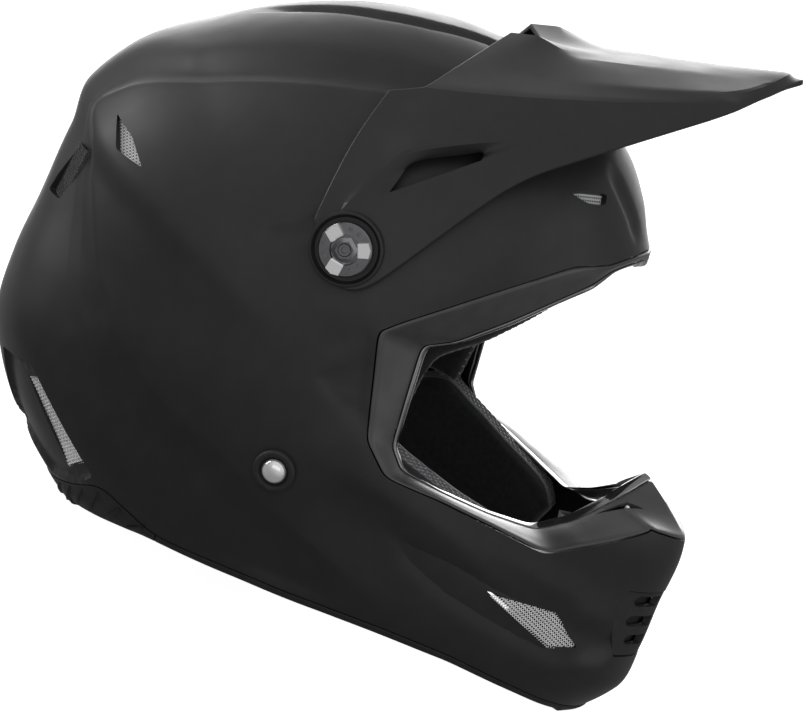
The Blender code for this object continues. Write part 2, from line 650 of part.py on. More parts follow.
CAGE_FACES = [
    ("rear_middle", "mid_rear", "top_1", "top_0"), ("mid_rear", "mid_front", "top_2", "top_1"),
    ("mid_front", "tip_top", "top_3", "top_2"), ("tip_top", "tip_low", "front_low", "top_3"),
    ("top_3", "front_low", "low_0", "ridge_3"), ("ridge_3", "low_0", "side_3"),
    ("top_0", "top_1", "ridge_1", "ridge_0"), ("top_1", "top_2", "ridge_2", "ridge_1"),
    ("top_2", "top_3", "ridge_3", "ridge_2"), ("ridge_0", "ridge_1", "side_1", "side_0"),
    ("ridge_1", "ridge_2", "side_2", "side_1"), ("ridge_2", "ridge_3", "side_3", "side_2"),
    ("rear_2", "side_0", "scoop_1", "rear_1"), ("rear_1", "scoop_1", "scoop_0", "rear_0"),
    ("side_0", "side_1", "scoop_2", "scoop_1"), ("side_1", "side_2", "scoop_3", "scoop_2"),
    ("side_2", "side_3", "low_0", "low_1"), ("scoop_3", "side_2", "low_1", "arm_6"),
    ("scoop_0", "scoop_1", "hole_1", "hole_0"), ("scoop_1", "scoop_2", "hole_2", "hole_1"),
    ("scoop_2", "scoop_3", "hole_3", "hole_2"), ("hole_3", "scoop_3", "arm_6", "arm_5"),
    ("hole_0", "hole_3", "arm_5", "arm_4"), ("boss", "hole_0", "arm_4", "arm_3"),
    ("scoop_0", "hole_0", "boss"), ("rear_0", "scoop_0", "boss", "arm_0"),
    ("boss", "arm_3", "arm_2"), ("boss", "arm_2", "arm_1", "arm_0"),
]


def foot_frame():
    """The peak's side-screw axis and the direction from it to the middle screw."""
    turn = math.radians(FOOT_ANGLE)
    return (VISOR_AXIS[0], 0, VISOR_AXIS[1]), (math.cos(turn), 0, math.sin(turn))


def polar(angle, radius, y):
    """Point around the peak's tilt axis."""
    turn = math.radians(angle)
    return np.array([VISOR_AXIS[0] + radius * math.cos(turn), y, VISOR_AXIS[1] + radius * math.sin(turn)])


def foot_plate(reach_back, reach_front, half, inner, outer, steps=6):
    """Arc plate about the tilt axis, from reach_front degrees ahead of the screw to reach_back behind."""
    sections = []
    for k in range(steps + 1):
        angle = FOOT_ANGLE + reach_back - (reach_back + reach_front) * k / steps
        sections.append([polar(angle, inner, -half), polar(angle, inner, half),
                         polar(angle, outer, half), polar(angle, outer, -half)])
    return loft(sections, False)


def make_visor():
    names = list(CAGE)
    verts = [np.array(CAGE[n], float) for n in names]
    faces = [tuple(names.index(n) for n in face) for face in CAGE_FACES]
    mirror_verts = [v * (1, -1, 1) for v in verts]
    mirror_faces = [tuple(len(names) + i for i in face)[::-1] for face in faces]
    axis = (VISOR_AXIS[0], 0, VISOR_AXIS[1])
    place = Vector(axis) * MM
    mesh = bpy.data.meshes.new("visor_peak")
    mesh.from_pydata([Vector([float(c) for c in v]) * MM - place for v in verts + mirror_verts], [],
                     faces + mirror_faces)
    tidy = bmesh.new()
    tidy.from_mesh(mesh)
    bmesh.ops.remove_doubles(tidy, verts=tidy.verts, dist=0.00001)
    bmesh.ops.triangulate(tidy, faces=tidy.faces)
    bmesh.ops.recalc_face_normals(tidy, faces=tidy.faces)
    highest = max(tidy.faces, key=lambda f: f.calc_center_median().z)
    if highest.normal.z < 0:
        bmesh.ops.reverse_faces(tidy, faces=tidy.faces)
    tidy.to_mesh(mesh)
    tidy.free()
    visor = bpy.data.objects.new("visor_peak", mesh)
    visor.location = place
    bpy.context.scene.collection.objects.link(visor)
    mesh.materials.append(material("matte_shell"))
    wall = visor.modifiers.new("wall", "SOLIDIFY")
    wall.thickness = VISOR_WALL * MM
    wall.offset = -1
    bosses, hollows = [], []
    for side in (-1, 1):
        disc = [(0, BOSS_INNER), (BOSS_RADIUS, BOSS_INNER), (BOSS_RADIUS, BOSS_OUTER), (0, BOSS_OUTER)]
        bosses.append(turned(disc, axis, (0, side, 0), 36))
        bore = SCREW_SHANK + GAP
        recess = [(0, 100), (bore, 100), (bore, BOSS_FLOOR), (RECESS_RADIUS, BOSS_FLOOR),
                  (RECESS_RADIUS, 140), (0, 140)]
        hollows.append(turned(recess, axis, (0, side, 0), 36))
    plate = foot_plate(3.5, VISOR_TRAVEL + 3.5, 10.0, FOOT_RADIUS, FOOT_RADIUS + FOOT_WALL)
    combine(visor, cutter("visor_boss_right", bosses[0]), "UNION")
    combine(visor, cutter("visor_boss_left", bosses[1]), "UNION")
    combine(visor, cutter("visor_foot", plate), "UNION")
    for side, word in ((-1, "right"), (1, "left")):
        low_rear = polar(FOOT_ANGLE + 3.5, FOOT_RADIUS + 0.5, 0)
        low_front = polar(FOOT_ANGLE - VISOR_TRAVEL - 3.5, FOOT_RADIUS + 0.5, 0)
        outline = [low_rear, low_front, np.array([73, 0, 296.6]), np.array([46, 0, 287.0])]
        rib = prism([p + (0, side * 7.2, 0) for p in outline], 2.4, 0, np.array([0, side * 1.0, 0]))
        combine(visor, cutter(f"visor_rib_{word}", rib), "UNION")
    slot = foot_plate(1.4, VISOR_TRAVEL + 1.4, 2.3, FOOT_RADIUS - 3, FOOT_RADIUS + 6)
    combine(visor, cutter("visor_hollows", join(*hollows, slot)), "DIFFERENCE")


def make_visor_fixings():
    axis = (VISOR_AXIS[0], 0, VISOR_AXIS[1])
    seat = BOSS_FLOOR + 0.3
    for side, word in ((1, "left"), (-1, "right")):
        head = [(0, 102.5), (SCREW_SHANK - 0.4, 102.5), (SCREW_SHANK, 103), (SCREW_SHANK, seat),
                (12.2, seat), (12.2, seat + 3.6), (10.6, seat + 5.4), (4.2, seat + 5.6),
                (3.6, seat + 4.0), (0, seat + 4.0)]
        add_mesh(f"visor_screw_{word}", *turned(head, axis, (0, side, 0), 24), "dark_chrome", axis)
        nut = [(SCREW_SHANK + 0.3, 103), (7.0, 103), (7.0, 105.2), (5.0, 105.2), (5.0, 107.6),
               (SCREW_SHANK + 0.3, 107.6)]
        add_mesh(f"visor_nut_{word}", *turned(nut, axis, (0, side, 0), 16), "dark_chrome")
    start, facing = foot_frame()
    top = FOOT_RADIUS + FOOT_WALL + 0.3
    foot = FOOT_RADIUS - POST_DEPTH
    screw = [(0, foot + 0.5), (1.9, foot + 0.5), (1.9, top), (4.6, top), (4.6, top + 1.6), (3.4, top + 2.6),
             (1.6, top + 2.6), (1.6, top + 1.2), (0, top + 1.2)]
    origin = polar(FOOT_ANGLE, FOOT_RADIUS, 0)
    add_mesh("visor_center_screw", *turned(screw, start, facing, 16), "dark_chrome", origin)
    post = [(2.2, foot), (7.5, foot), (7.5, foot + 2), (5.0, foot + 2), (5.0, FOOT_RADIUS - GAP),
            (2.2, FOOT_RADIUS - GAP)]
    add_mesh("visor_center_nut", *turned(post, start, facing, 16), "trim_plastic")


# ---- chin strap ---------------------------------------------------------------------------------
def rivet_frame(side):
    """Surface point and outward direction of a strap rivet."""
    place = SHELL.at(*RIVET)
    facing = SHELL.normal(place)
    facing[0] = 0.0
    facing /= np.linalg.norm(facing)
    return place * (1, side, 1), facing * (1, side, 1)


def ribbon(line, half_width, wall, side):
    """Band along a line of (y, z) points at the rivet's x, with its width along X."""
    sections = []
    for i, (y, z) in enumerate(line):
        before, after = line[max(i - 1, 0)], line[min(i + 1, len(line) - 1)]
        along = np.array([after[0] - before[0], after[1] - before[1]], float)
        along /= np.linalg.norm(along)
        off = wall / 2 * np.array([-along[1], along[0]])
        corners = ((-half_width, -1), (half_width, -1), (half_width, 1), (-half_width, 1))
        sections.append([np.array([RIVET[0] + dx, side * (y + sign * off[0]), z + sign * off[1]])
                         for dx, sign in corners])
    return loft(sections, False)


def smooth_line(points, steps):
    params = [k / steps for k in range((len(points) - 1) * steps + 1)]
    ghosts = (2 * np.array(points[0]) - np.array(points[1]), 2 * np.array(points[-1]) - np.array(points[-2]))
    return [tuple(p) for p in curve([np.array(p, float) for p in points], params, ghosts)]


STRAP_DROP = [(111.8, 78.5), (110.6, 71), (107, 52), (101, 34), (93.5, 20.5), (85, 12.5), (73, 9.6)]
LONG_END = [(60, 9.0), (44, 8.8), (28, 8.8), (12, 9.0)]
RING_BAR = (50.0, 11.4)        # y, z of the D-rings' straight bars, in the strap's folded eye
EYE_RADIUS = 4.6
RING_SIZE = (14.6, 22.0, 3.0)  # a D-ring's half width, its reach and its corners' size
RING_WIRE, RING_SHIFT = 1.2, 1.35


def make_straps():
    eye = [(RING_BAR[0] + EYE_RADIUS * math.cos(a), RING_BAR[1] + EYE_RADIUS * math.sin(a))
           for a in (math.radians(turn) for turn in range(-75, -390, -35))]
    lines = {"left": (smooth_line(STRAP_DROP, 2) + [(62, 8.0), (56, 7.0)] + eye, 1),
             "right": (smooth_line(STRAP_DROP + LONG_END, 2), -1)}
    for word, (line, side) in lines.items():
        place, facing = rivet_frame(side)
        band = ribbon(line, STRAP_WIDTH / 2, STRAP_WALL, side)
        strap = add_mesh(f"chin_strap_{word}", *band, "webbing", place)
        bore = [(0, -14), (2.6, -14), (2.6, 0), (0, 0)]
        hole = cutter(f"strap_hole_{word}", turned(bore, place, facing, 16))
        combine(strap, hole, "DIFFERENCE")
        rivet = [(0, -12.6), (4.6, -12.6), (4.6, -11.4), (2.2, -11.4), (2.2, 1.4), (5.6, 1.4), (5.3, 2.8),
                 (4.2, 3.9), (2.4, 4.6), (0, 4.8)]
        add_mesh(f"strap_rivet_{word}", *turned(rivet, place, facing, 20), "chrome")
        ring = [(2.6, 0.75), (9.7, 0.75), (9.8, 2.0), (9.0, 2.9), (7.4, 2.9), (6.6, 1.1), (2.6, 1.1)]
        add_mesh(f"rivet_washer_{word}", *turned(ring, place, facing, 24), "black_rubber")


def make_d_rings():
    """Two D-shaped wire rings, their straight bars in the strap's eye, one lying on the other."""
    half, reach, shoulder = RING_SIZE
    bend = reach / 2
    outline = [(x, 0.0) for x in np.linspace(shoulder - half, half - shoulder, 5)]
    outline += [(half, -shoulder), (half, -bend)]
    outline += [(half * math.cos(a), -bend - bend * math.sin(a))
                for a in (math.pi * k / 8 for k in range(1, 8))]
    outline += [(-half, -bend), (-half, -shoulder)]
    count = len(outline)
    for name, side in (("d_ring_inner", 1), ("d_ring_outer", -1)):
        place = np.array([RIVET[0], RING_BAR[0], RING_BAR[1] + side * RING_SHIFT])
        sections = []
        for i in range(count):
            along = np.array(outline[(i + 1) % count]) - np.array(outline[i - 1])
            along /= np.linalg.norm(along)
            across = np.array([-along[1], along[0], 0.0])
            centre = place + np.array([*outline[i], 0.0])
            sections.append([centre + RING_WIRE * (math.cos(a) * across + np.array([0, 0, math.sin(a)]))
                             for a in (k * math.pi / 3 for k in range(6))])
        add_mesh(name, *loft(sections, True), "chrome", place)


def make_strap_snap():
    """Press stud near the long strap's free end."""
    place = (RIVET[0], -20.0, 8.8)
    stud = [(0, 1.3), (6.0, 1.3), (6.0, 2.3), (4.6, 3.2), (0, 3.2)]
    add_mesh("strap_snap", *turned(stud, place, (0, 0, 1), 24), "chrome")


def main():
    for old in list(bpy.data.objects):
        bpy.data.objects.remove(old, do_unlink=True)
    make_shell()
    make_eyeport_trim()
    make_rim_trims()
    make_vent_meshes()
    make_chin_grille()
    make_impact_liner()
    make_comfort_liner()
    make_cheek_pads()
    make_chin_foam()
    make_visor()
    make_visor_fixings()
    make_straps()
    make_d_rings()
    make_strap_snap()
    for made in bpy.data.objects:
        made.location.x += CENTRING * MM


main()
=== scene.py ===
"""Off-road motorcycle helmet with a peak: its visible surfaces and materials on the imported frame.

Lengths are millimetres in the design frame; piece() moves them into the row frame, in metres.
+X is the wearer's front, +Y the wearer's left, +Z up.
"""
import math

import bmesh
import bpy
import numpy as np
from mathutils import Matrix, Vector
from mathutils.geometry import delaunay_2d_cdt


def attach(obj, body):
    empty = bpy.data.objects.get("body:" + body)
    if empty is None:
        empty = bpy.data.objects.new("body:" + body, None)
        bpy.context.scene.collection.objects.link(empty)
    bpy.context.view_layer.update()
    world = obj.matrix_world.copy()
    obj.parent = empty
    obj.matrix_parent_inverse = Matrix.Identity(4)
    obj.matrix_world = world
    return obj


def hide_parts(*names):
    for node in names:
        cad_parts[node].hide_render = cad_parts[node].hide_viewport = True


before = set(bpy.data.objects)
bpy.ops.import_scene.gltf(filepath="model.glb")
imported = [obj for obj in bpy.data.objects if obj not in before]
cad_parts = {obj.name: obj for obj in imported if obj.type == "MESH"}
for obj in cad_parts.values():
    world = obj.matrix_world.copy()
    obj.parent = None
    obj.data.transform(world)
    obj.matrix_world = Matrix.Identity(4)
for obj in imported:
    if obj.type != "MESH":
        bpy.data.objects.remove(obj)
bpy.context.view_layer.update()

MM = 0.001
GAP = 0.4                      # clearance between parts that turn or slide
CENTRING = 3.72                # moves the design frame's x to the middle of the rim's footprint
SIDES = ((1, "left"), (-1, "right"))

# ---- dimensions shared with the solids ------------------------------------------------------------
EAR = (-8.0, 118.0)
HALF_WIDTH = 122.0
SHELL_WALL = 4.0
HEAD_HALF_WIDTH = 82.0
LINER_CLOTH = 9.0
LINER_GAP = 2.8
OUTLINE = [(-36, 199, 1.85), (-30, 201, 1.75), (-24, 193, 1.65), (-17, 184, 1.6), (-10, 179, 1.6),
           (0, 166, 1.6), (15, 150, 1.65), (30, 142, 1.75), (42, 140.5, 1.9), (51, 146, 2.05),
           (60, 151, 2.15), (80, 155, 2.2), (102, 156.5, 2.2), (119, 159.5, 2.2), (137, 166, 2.25),
           (152, 177, 2.4), (159, 178.5, 2.5), (166, 171, 2.5), (178, 167, 2.5), (188, 170, 2.5),
           (198, 173.5, 2.5), (205, 171, 2.5), (220, 163.5, 2.45), (228, 160, 2.4), (245, 157, 2.3),
           (270, 160, 2.3), (290, 170, 2.2), (310, 188, 2.0)]
HEAD_OUTLINE = [(-40, 118, 2.0), (0, 112, 2.0), (42, 104, 2.0), (65, 112, 2.0), (90, 117, 2.1),
                (120, 120, 2.1), (150, 126, 2.1), (180, 126, 2.1), (225, 118, 2.1), (270, 116, 2.0)]
NOSE_ANGLE, BROW_ANGLE = -7.7, 42.3
REAR_RIM_ANGLE, CHIN_RIM_ANGLE = 223.5, -34.7
REAR_BASE_ANGLE, CHIN_BASE_ANGLE = 227.4, -36.0
EYEPORT = [((154, 99), (131, 20, 102)), ((135, 88), (119, 43, 90)), ((115, 77), (105, 56, 81.5)),
           ((90, 82), (84, 77, 84)), ((64, 86), (62, 93, 87.5)), ((38, 88), (42, 102, 91)),
           ((24, 101), (34, 104, 100)), ((17, 124), (31, 102.5, 122)), ((10, 148), (28, 100, 146.5)),
           ((18, 156), (41, 95, 154)), ((44, 178.5), (58, 84, 170)), ((73.5, 202.5), (82.5, 55, 195)),
           ((86, 206), (88, 38, 203)), ((94, 211.5), (95, 15, 208))]
NOSE_RECESS = [(126, 33.7, 95.7), (135.9, 18.1, 103.6), (144.3, 16, 103.5)]
NOSE_SCREW = np.array([137.2, 19.9, 102.9])
NOSE_EDGE, BROW_EDGE = (141.5, 0, 113.5), (97, 0, 209.5)
RIM = [((-112, 7.5), (-105, 0)), ((-97, 14), (-92, 2)), ((-83, 21), (-78, 4.5)), ((-67, 17.5), (-65, 7)),
       ((-51, 13.5), (-51, 9.3)), ((-20, 15.5), (-20, 11.5)), ((4, 17), (4, 13)), ((54, 19), (54, 15)),
       ((85, 18), (85, 14)), ((103, 15.8), (103, 12)), ((125, 11), (125, 7.4)), ((139, 7), (139, 3.3)),
       ((150, 4.6), (149, 0.6))]
NECK_ROLL_END = -49.0
VISOR_AXIS = (-17.0, 176.5)
VISOR_WALL = 2.6
VISOR_TRAVEL = 8.0
BOSS_INNER, BOSS_FLOOR, BOSS_OUTER = 119.9, 122.6, 124.6
BOSS_RADIUS, RECESS_RADIUS = 17.0, 15.5
SCREW_SHANK = 3.0
FOOT_ANGLE, FOOT_RADIUS, FOOT_WALL = 57.0, 113.0, 2.5
POST_DEPTH = 17.5
RIVET = (-7.8, 70.8)
STRAP_WIDTH, STRAP_WALL = 24.0, 1.7
CHIN_VENT = [(100, 53), (131.5, 51.5), (138, 46), (146, 38), (135, 34.5)]
BROW_VENT = [(58, 232), (65, 234), (72, 234.5), (73.5, 230), (67, 229.5)]
UPPER_VENT = [(-144, 181), (-136, 168), (-120, 167), (-131, 176)]
REAR_LOWER_VENT = [(-138, 50), (-130, 54), (-96, 27), (-104, 19)]
REAR_EXHAUST = [(-161, 158), (-153, 158), (-158, 131), (-165, 131)]
VENTS = {"chin": CHIN_VENT, "brow": BROW_VENT, "upper": UPPER_VENT, "rear_lower": REAR_LOWER_VENT,
         "rear_exhaust": REAR_EXHAUST}
GRILLE_ROWS = [(69, 32), (60, 37), (48, 33), (36, 27)]
GRILLE_SLOTS = [(64, 5.2, 26), (54, 5.2, 27), (44.5, 5.0, 23)]

# ---- surface creases ------------------------------------------------------------------------------
DISC_SCALE = 200.0             # millimetres of surface to one unit of the disc, about
# points of each crease on the left side, as x, y, z or as x, z
PANEL_EDGE = [(-10, 77, 247.5), (-35, 78.5, 241), (-72, 79, 228.5), (-102, 76, 215), (-137, 70, 197),
              (-151, 67, 188), (-157, 66.5, 178.8), (-151.8, 77, 168.9), (-144.6, 83, 154.7),
              (-136.8, 90, 142), (-131.1, 94.5, 132.6), (-124.7, 98.5, 123.6), (-117.8, 102.5, 114.7),
              (-110.1, 106.5, 106.3), (-103.1, 109, 97.4), (-85, 113, 88), (-66, 115, 80), (-20, 116, 60),
              (31, 108, 40.5), (53, 100.5, 31)]
PANEL_CLOSING = [(120, 40), (150, 100), (90, 200), (40, 230)]
CHIN_RIDGE = [(0, 85), (28, 82), (60, 76), (89, 71), (120, 64), (141, 60)]
CHEEK_FOLD = [(-25, 144.5), (-12, 112), (0, 85)]
BROW_RIDGE = [(66, 38, 243), (71, 35, 238), (79, 31, 231), (87, 25, 222), (93, 19, 213)]
BOSS_STEP = [(-62, 164), (-50, 171.5), (-38, 182)]
CHIN_RECESS = [(42, 68), (58, 50), (80, 39), (129, 25), (140, 23), (160, 30), (160, 52), (120, 60), (80, 68)]
REAR_RECESS = [(-156, 55), (-134, 58), (-88, 24), (-95, 15.5), (-112, 9), (-140, 20)]
# half width of the raised strip over the crown, at places along x
STRIP_X, STRIP_HALF = [-120, -97.5, -57, -34, -8, 40], [20, 28, 33.5, 32, 24, 22]


def unit(vector):
    return vector / np.linalg.norm(vector)


def run_lengths(path):
    """Length along a path up to each of its points."""
    return np.concatenate([[0], np.cumsum(np.linalg.norm(np.diff(path, axis=0), axis=1))])


def spin_to(axis):
    """Matrix that turns +Z to an axis."""
    return np.array(Vector(axis).normalized().to_track_quat("Z", "Y").to_matrix())


def in_disc(tilt, angle):
    return np.stack([tilt * np.cos(np.radians(angle)), tilt * np.sin(np.radians(angle))], -1)


def around_ear(x, z):
    """Angle in degrees and distance of x, z about the ear axis."""
    dx, dz = np.asarray(x, float) - EAR[0], np.asarray(z, float) - EAR[1]
    return np.degrees(np.arctan2(dz, dx)), np.hypot(dx, dz)


def periodic(knots, column):
    """Smooth monotone function of angles in degrees through one column of a table of knots."""
    xs = np.array([k[0] for k in knots] + [knots[0][0] + 360.0])
    ys = np.array([k[column] for k in knots] + [knots[0][column]], float)
    steps = np.diff(xs)
    slopes = np.diff(ys) / steps
    tangents = np.zeros(len(xs))
    for i in range(len(steps)):
        before, after = slopes[i - 1], slopes[i]
        if before * after > 0:
            wide, near = steps[i - 1], steps[i]
            weights = ((2 * near + wide) / before + (near + 2 * wide) / after)
            tangents[i] = 3 * (wide + near) / weights
    tangents[-1] = tangents[0]

    def value(angle):
        angle = (np.asarray(angle, float) - xs[0]) % 360.0 + xs[0]
        i = np.clip(np.searchsorted(xs, angle, side="right") - 1, 0, len(steps) - 1)
        t = (angle - xs[i]) / steps[i]
        start = (1 + 2 * t) * (1 - t) ** 2 * ys[i] + t * (1 - t) ** 2 * steps[i] * tangents[i]
        end = t * t * (3 - 2 * t) * ys[i + 1] + t * t * (t - 1) * steps[i] * tangents[i + 1]
        return start + end
    return value


class Dome:
    """Surface drawn around the ear axis: its outline is polar, its cross-sections superellipses."""

    def __init__(self, outline, half_width):
        self.radius = periodic(outline, 1)
        self.exponent = periodic(outline, 2)
        self.half_width = half_width

    def chart(self, x, z):
        """Disc coordinates of the surface points above x, z: the middle plane is the unit circle."""
        angle, distance = around_ear(x, z)
        part = np.minimum(distance / self.radius(angle), 1.0)
        return in_disc(np.arcsin(part ** (self.exponent(angle) / 2)) / (math.pi / 2), angle)

    def chart_3d(self, points):
        """Disc coordinates of 3-D points near the surface."""
        p = np.asarray(points, float)
        angle = around_ear(p[..., 0], p[..., 2])[0]
        share = np.clip(np.abs(p[..., 1]) / self.half_width, 0, 1)
        return in_disc(np.arccos(share ** (self.exponent(angle) / 2)) / (math.pi / 2), angle)

    def point(self, disc, inset=0.0):
        """Surface points of disc coordinates, moved inwards along the surface's normal."""
        disc = np.asarray(disc, float)
        angle = np.degrees(np.arctan2(disc[..., 1], disc[..., 0]))
        tilt = np.minimum(np.hypot(disc[..., 0], disc[..., 1]), 1.0) * math.pi / 2
        power = 2 / self.exponent(angle)
        reach = self.radius(angle) * np.sin(tilt) ** power
        y = self.half_width * np.maximum(np.cos(tilt), 0.0) ** power
        y = np.where(y < 1e-6, 0.0, y)
        x = EAR[0] + reach * np.cos(np.radians(angle))
        z = EAR[1] + reach * np.sin(np.radians(angle))
        base = np.stack([x, y, z], -1)
        return base - inset * self.normal(base) if inset else base

    def level(self, p):
        """Below 1 inside the surface and above 1 outside it."""
        angle, distance = around_ear(p[..., 0], p[..., 2])
        n = self.exponent(angle)
        return (np.abs(p[..., 1]) / self.half_width) ** n + (distance / self.radius(angle)) ** n

    def normal(self, p):
        p = np.asarray(p, float)
        slope = np.zeros(p.shape)
        for axis in range(3):
            step = np.zeros(3)
            step[axis] = 0.5
            slope[..., axis] = self.level(p + step) - self.level(p - step)
        return slope / np.linalg.norm(slope, axis=-1, keepdims=True)

    def at(self, x, z, inset=0.0):
        return self.point(self.chart(x, z), inset)


SHELL = Dome(OUTLINE, HALF_WIDTH)
CORE_INSET = SHELL_WALL + LINER_GAP
CORE = Dome([(a, min(r, 173) - CORE_INSET, n) for a, r, n in OUTLINE], HALF_WIDTH - CORE_INSET)
HEAD = Dome(HEAD_OUTLINE, HEAD_HALF_WIDTH)
LINER = Dome([(a, r + LINER_CLOTH, n) for a, r, n in HEAD_OUTLINE], HEAD_HALF_WIDTH + LINER_CLOTH)
FOAM = Dome([(a, r + LINER_CLOTH + LINER_GAP, n) for a, r, n in HEAD_OUTLINE],
            HEAD_HALF_WIDTH + LINER_CLOTH + LINER_GAP)


def rim_point(angle):
    return np.array([math.cos(math.radians(angle)), math.sin(math.radians(angle))])


def over_edge(end, neighbour):
    """Neighbour's reflection beyond the disc's edge, so that a curve meets the middle plane squarely."""
    return neighbour - 2 * np.dot(neighbour - end, end) * end


def curve(points, params, ghosts=None):
    """Catmull-Rom curve through points at params from 0 to len(points) - 1, as an array."""
    points = [np.array(p, float) for p in points]
    ghosts = ghosts or (2 * points[0] - points[1], 2 * points[-1] - points[-2])
    chain = np.array([ghosts[0]] + points + [ghosts[1]], float)
    t = np.asarray(params, float)
    i = np.minimum(t.astype(int), len(points) - 2)
    f = (t - i)[:, None]
    a, b, c, d = (chain[i + k] for k in range(4))
    return 0.5 * (2 * b + (c - a) * f + (2 * a - 5 * b + 4 * c - d) * f * f
                  + (3 * b - a - 3 * c + d) * f ** 3)


def even_params(points, ghosts, count):
    """Params that space count + 1 points evenly along the curve."""
    fine = np.linspace(0, len(points) - 1, 20 * len(points))
    path = curve(points, fine, ghosts)
    length = run_lengths(path)
    return np.interp(np.linspace(0, length[-1], count + 1), length, fine)


def disc_curve(points, params=None, count=None, ends=(True, True)):
    """Curve in the disc; an end that is True lies on the disc's edge."""
    ghosts = (over_edge(points[0], points[1]) if ends[0] else 2 * points[0] - points[1],
              over_edge(points[-1], points[-2]) if ends[1] else 2 * points[-1] - points[-2])
    params = even_params(points, ghosts, count) if params is None else params
    return curve(points, params, ghosts), params


def smooth_step(t):
    t = np.clip(t, 0.0, 1.0)
    return t * t * (3 - 2 * t)


# ---- mesh makers ----------------------------------------------------------------------------------
MATERIALS = {}
WELD, SLIVER = 0.000005, 0.000002      # metres


def new_mesh(name, verts, faces):
    """Mesh from vertices in millimetres in the design frame."""
    mesh = bpy.data.meshes.new(name)
    points = np.asarray(verts, float).copy()
    points[:, 0] += CENTRING
    mesh.from_pydata((points * MM).tolist(), [], [tuple(int(i) for i in f) for f in faces])
    return mesh


def clean(mesh, slivers):
    """Welds doubled vertices, drops slivers if asked and turns the faces outwards."""
    work = bmesh.new()
    work.from_mesh(mesh)
    bmesh.ops.remove_doubles(work, verts=work.verts, dist=WELD)
    if slivers:
        bmesh.ops.dissolve_degenerate(work, edges=work.edges, dist=SLIVER)
    bmesh.ops.recalc_face_normals(work, faces=work.faces)
    work.to_mesh(mesh)
    work.free()


def add_object(name, data):
    made = bpy.data.objects.new(name, data)
    bpy.context.scene.collection.objects.link(made)
    return made


def show(name, mesh, look, body, slot, replaces, sharp):
    """Makes a mesh a visible piece that rides on a body; sharp is the least angle of a sharp edge."""
    mesh.shade_smooth()
    if sharp:
        mesh.set_sharp_from_angle(angle=math.radians(sharp))
    mesh.materials.clear()
    mesh.materials.append(MATERIALS[look])
    made = add_object(name, mesh)
    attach(made, body)
    if replaces:
        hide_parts(replaces)
    return made


def piece(name, verts, faces, look, body, slot, replaces=None, sharp=35.0, uv=None):
    """A visible piece from vertices in millimetres."""
    mesh = new_mesh(name, verts, faces)
    if uv is not None:
        layer = mesh.uv_layers.new(name="surface")
        index = np.zeros(len(mesh.loops), dtype=int)
        mesh.loops.foreach_get("vertex_index", index)
        layer.data.foreach_set("uv", (np.asarray(uv, float)[index] * MM).ravel())
    clean(mesh, True)
    return show(name, mesh, look, body, slot, replaces, sharp)


def loose_object(name, verts, faces):
    """An object that is not a piece, from vertices in millimetres."""
    mesh = new_mesh(name, verts, faces)
    clean(mesh, False)
    return add_object(name, mesh)


def evaluated(made):
    """The object's mesh with its modifiers applied; the object is removed."""
    graph = bpy.context.evaluated_depsgraph_get()
    mesh = bpy.data.meshes.new_from_object(made.evaluated_get(graph))
    bpy.data.objects.remove(made)
    return mesh


def boolean(target, tool, operation):
    modifier = target.modifiers.new(tool.name, "BOOLEAN")
    modifier.operation, modifier.solver, modifier.object = operation, "EXACT", tool


def carved(name, shape, cuts):
    """Mesh of a shape less its cuts."""
    body, tool = loose_object(name, *shape), loose_object(f"{name}_cuts", *join(*cuts))
    boolean(body, tool, "DIFFERENCE")
    mesh = evaluated(body)
    bpy.data.objects.remove(tool)
    return mesh


def mirrored(points):
    return np.asarray(points, float) * (1, -1, 1)


def loft(sections, closed=False):
    """Vertices and faces through sections of equal size; open ends are capped."""
    size = len(sections[0])
    verts = [p for section in sections for p in section]
    faces = []
    spans = len(sections) if closed else len(sections) - 1
    for i in range(spans):
        here, there = i * size, (i + 1) % len(sections) * size
        for k in range(size):
            after = (k + 1) % size
            faces.append((here + k, here + after, there + after, there + k))
    if not closed:
        faces.append(tuple(range(size)))
        faces.append(tuple(range((len(sections) - 1) * size, len(sections) * size))[::-1])
    return verts, faces


def slab(outer, inner):
    """Vertices and faces of the wall between two grids of points."""
    columns, rows = len(outer), len(outer[0])
    verts = [p for column in outer for p in column] + [p for column in inner for p in column]
    back = columns * rows
    faces = []
    for a in range(0, back - rows, rows):
        b = a + rows
        for j in range(rows - 1):
            faces.append((a + j, a + j + 1, b + j + 1, b + j))
            faces.append((back + a + j, back + b + j, back + b + j + 1, back + a + j + 1))
        for j in (0, rows - 1):
            faces.append((a + j, b + j, back + b + j, back + a + j))
    for a in (0, back - rows):
        for j in range(rows - 1):
            faces.append((a + j, a + j + 1, back + a + j + 1, back + a + j))
    return verts, faces


def both_sides(grid):
    """Grid of left-side columns from the middle plane, carried on over the right side."""
    grid = [np.asarray(column, float) for column in grid]
    return [mirrored(column) for column in grid[:0:-1]] + grid


def turned(profile, origin, axis, segments=48):
    """Vertices and faces of a closed profile of (radius, height) turned about an axis."""
    spin = spin_to(axis)
    verts = []
    for k in range(segments):
        angle = 2 * math.pi * k / segments
        for radius, height in profile:
            local = np.array([radius * math.cos(angle), radius * math.sin(angle), height])
            verts.append(np.array(origin, float) + spin @ local)
    size = len(profile)
    faces = []
    for k in range(segments):
        here, there = k * size, (k + 1) % segments * size
        for i in range(size):
            after = (i + 1) % size
            if profile[i][0] == 0 and profile[after][0] == 0:
                continue
            faces.append((here + i, here + after, there + after, there + i))
    return verts, faces


def prism(outline, push, pull, direction):
    """Vertices and faces of a 3-D outline thickened along a direction and against it."""
    outer = [np.array(p) + push * direction for p in outline]
    inner = [np.array(p) - pull * direction for p in outline]
    return loft([outer, inner])


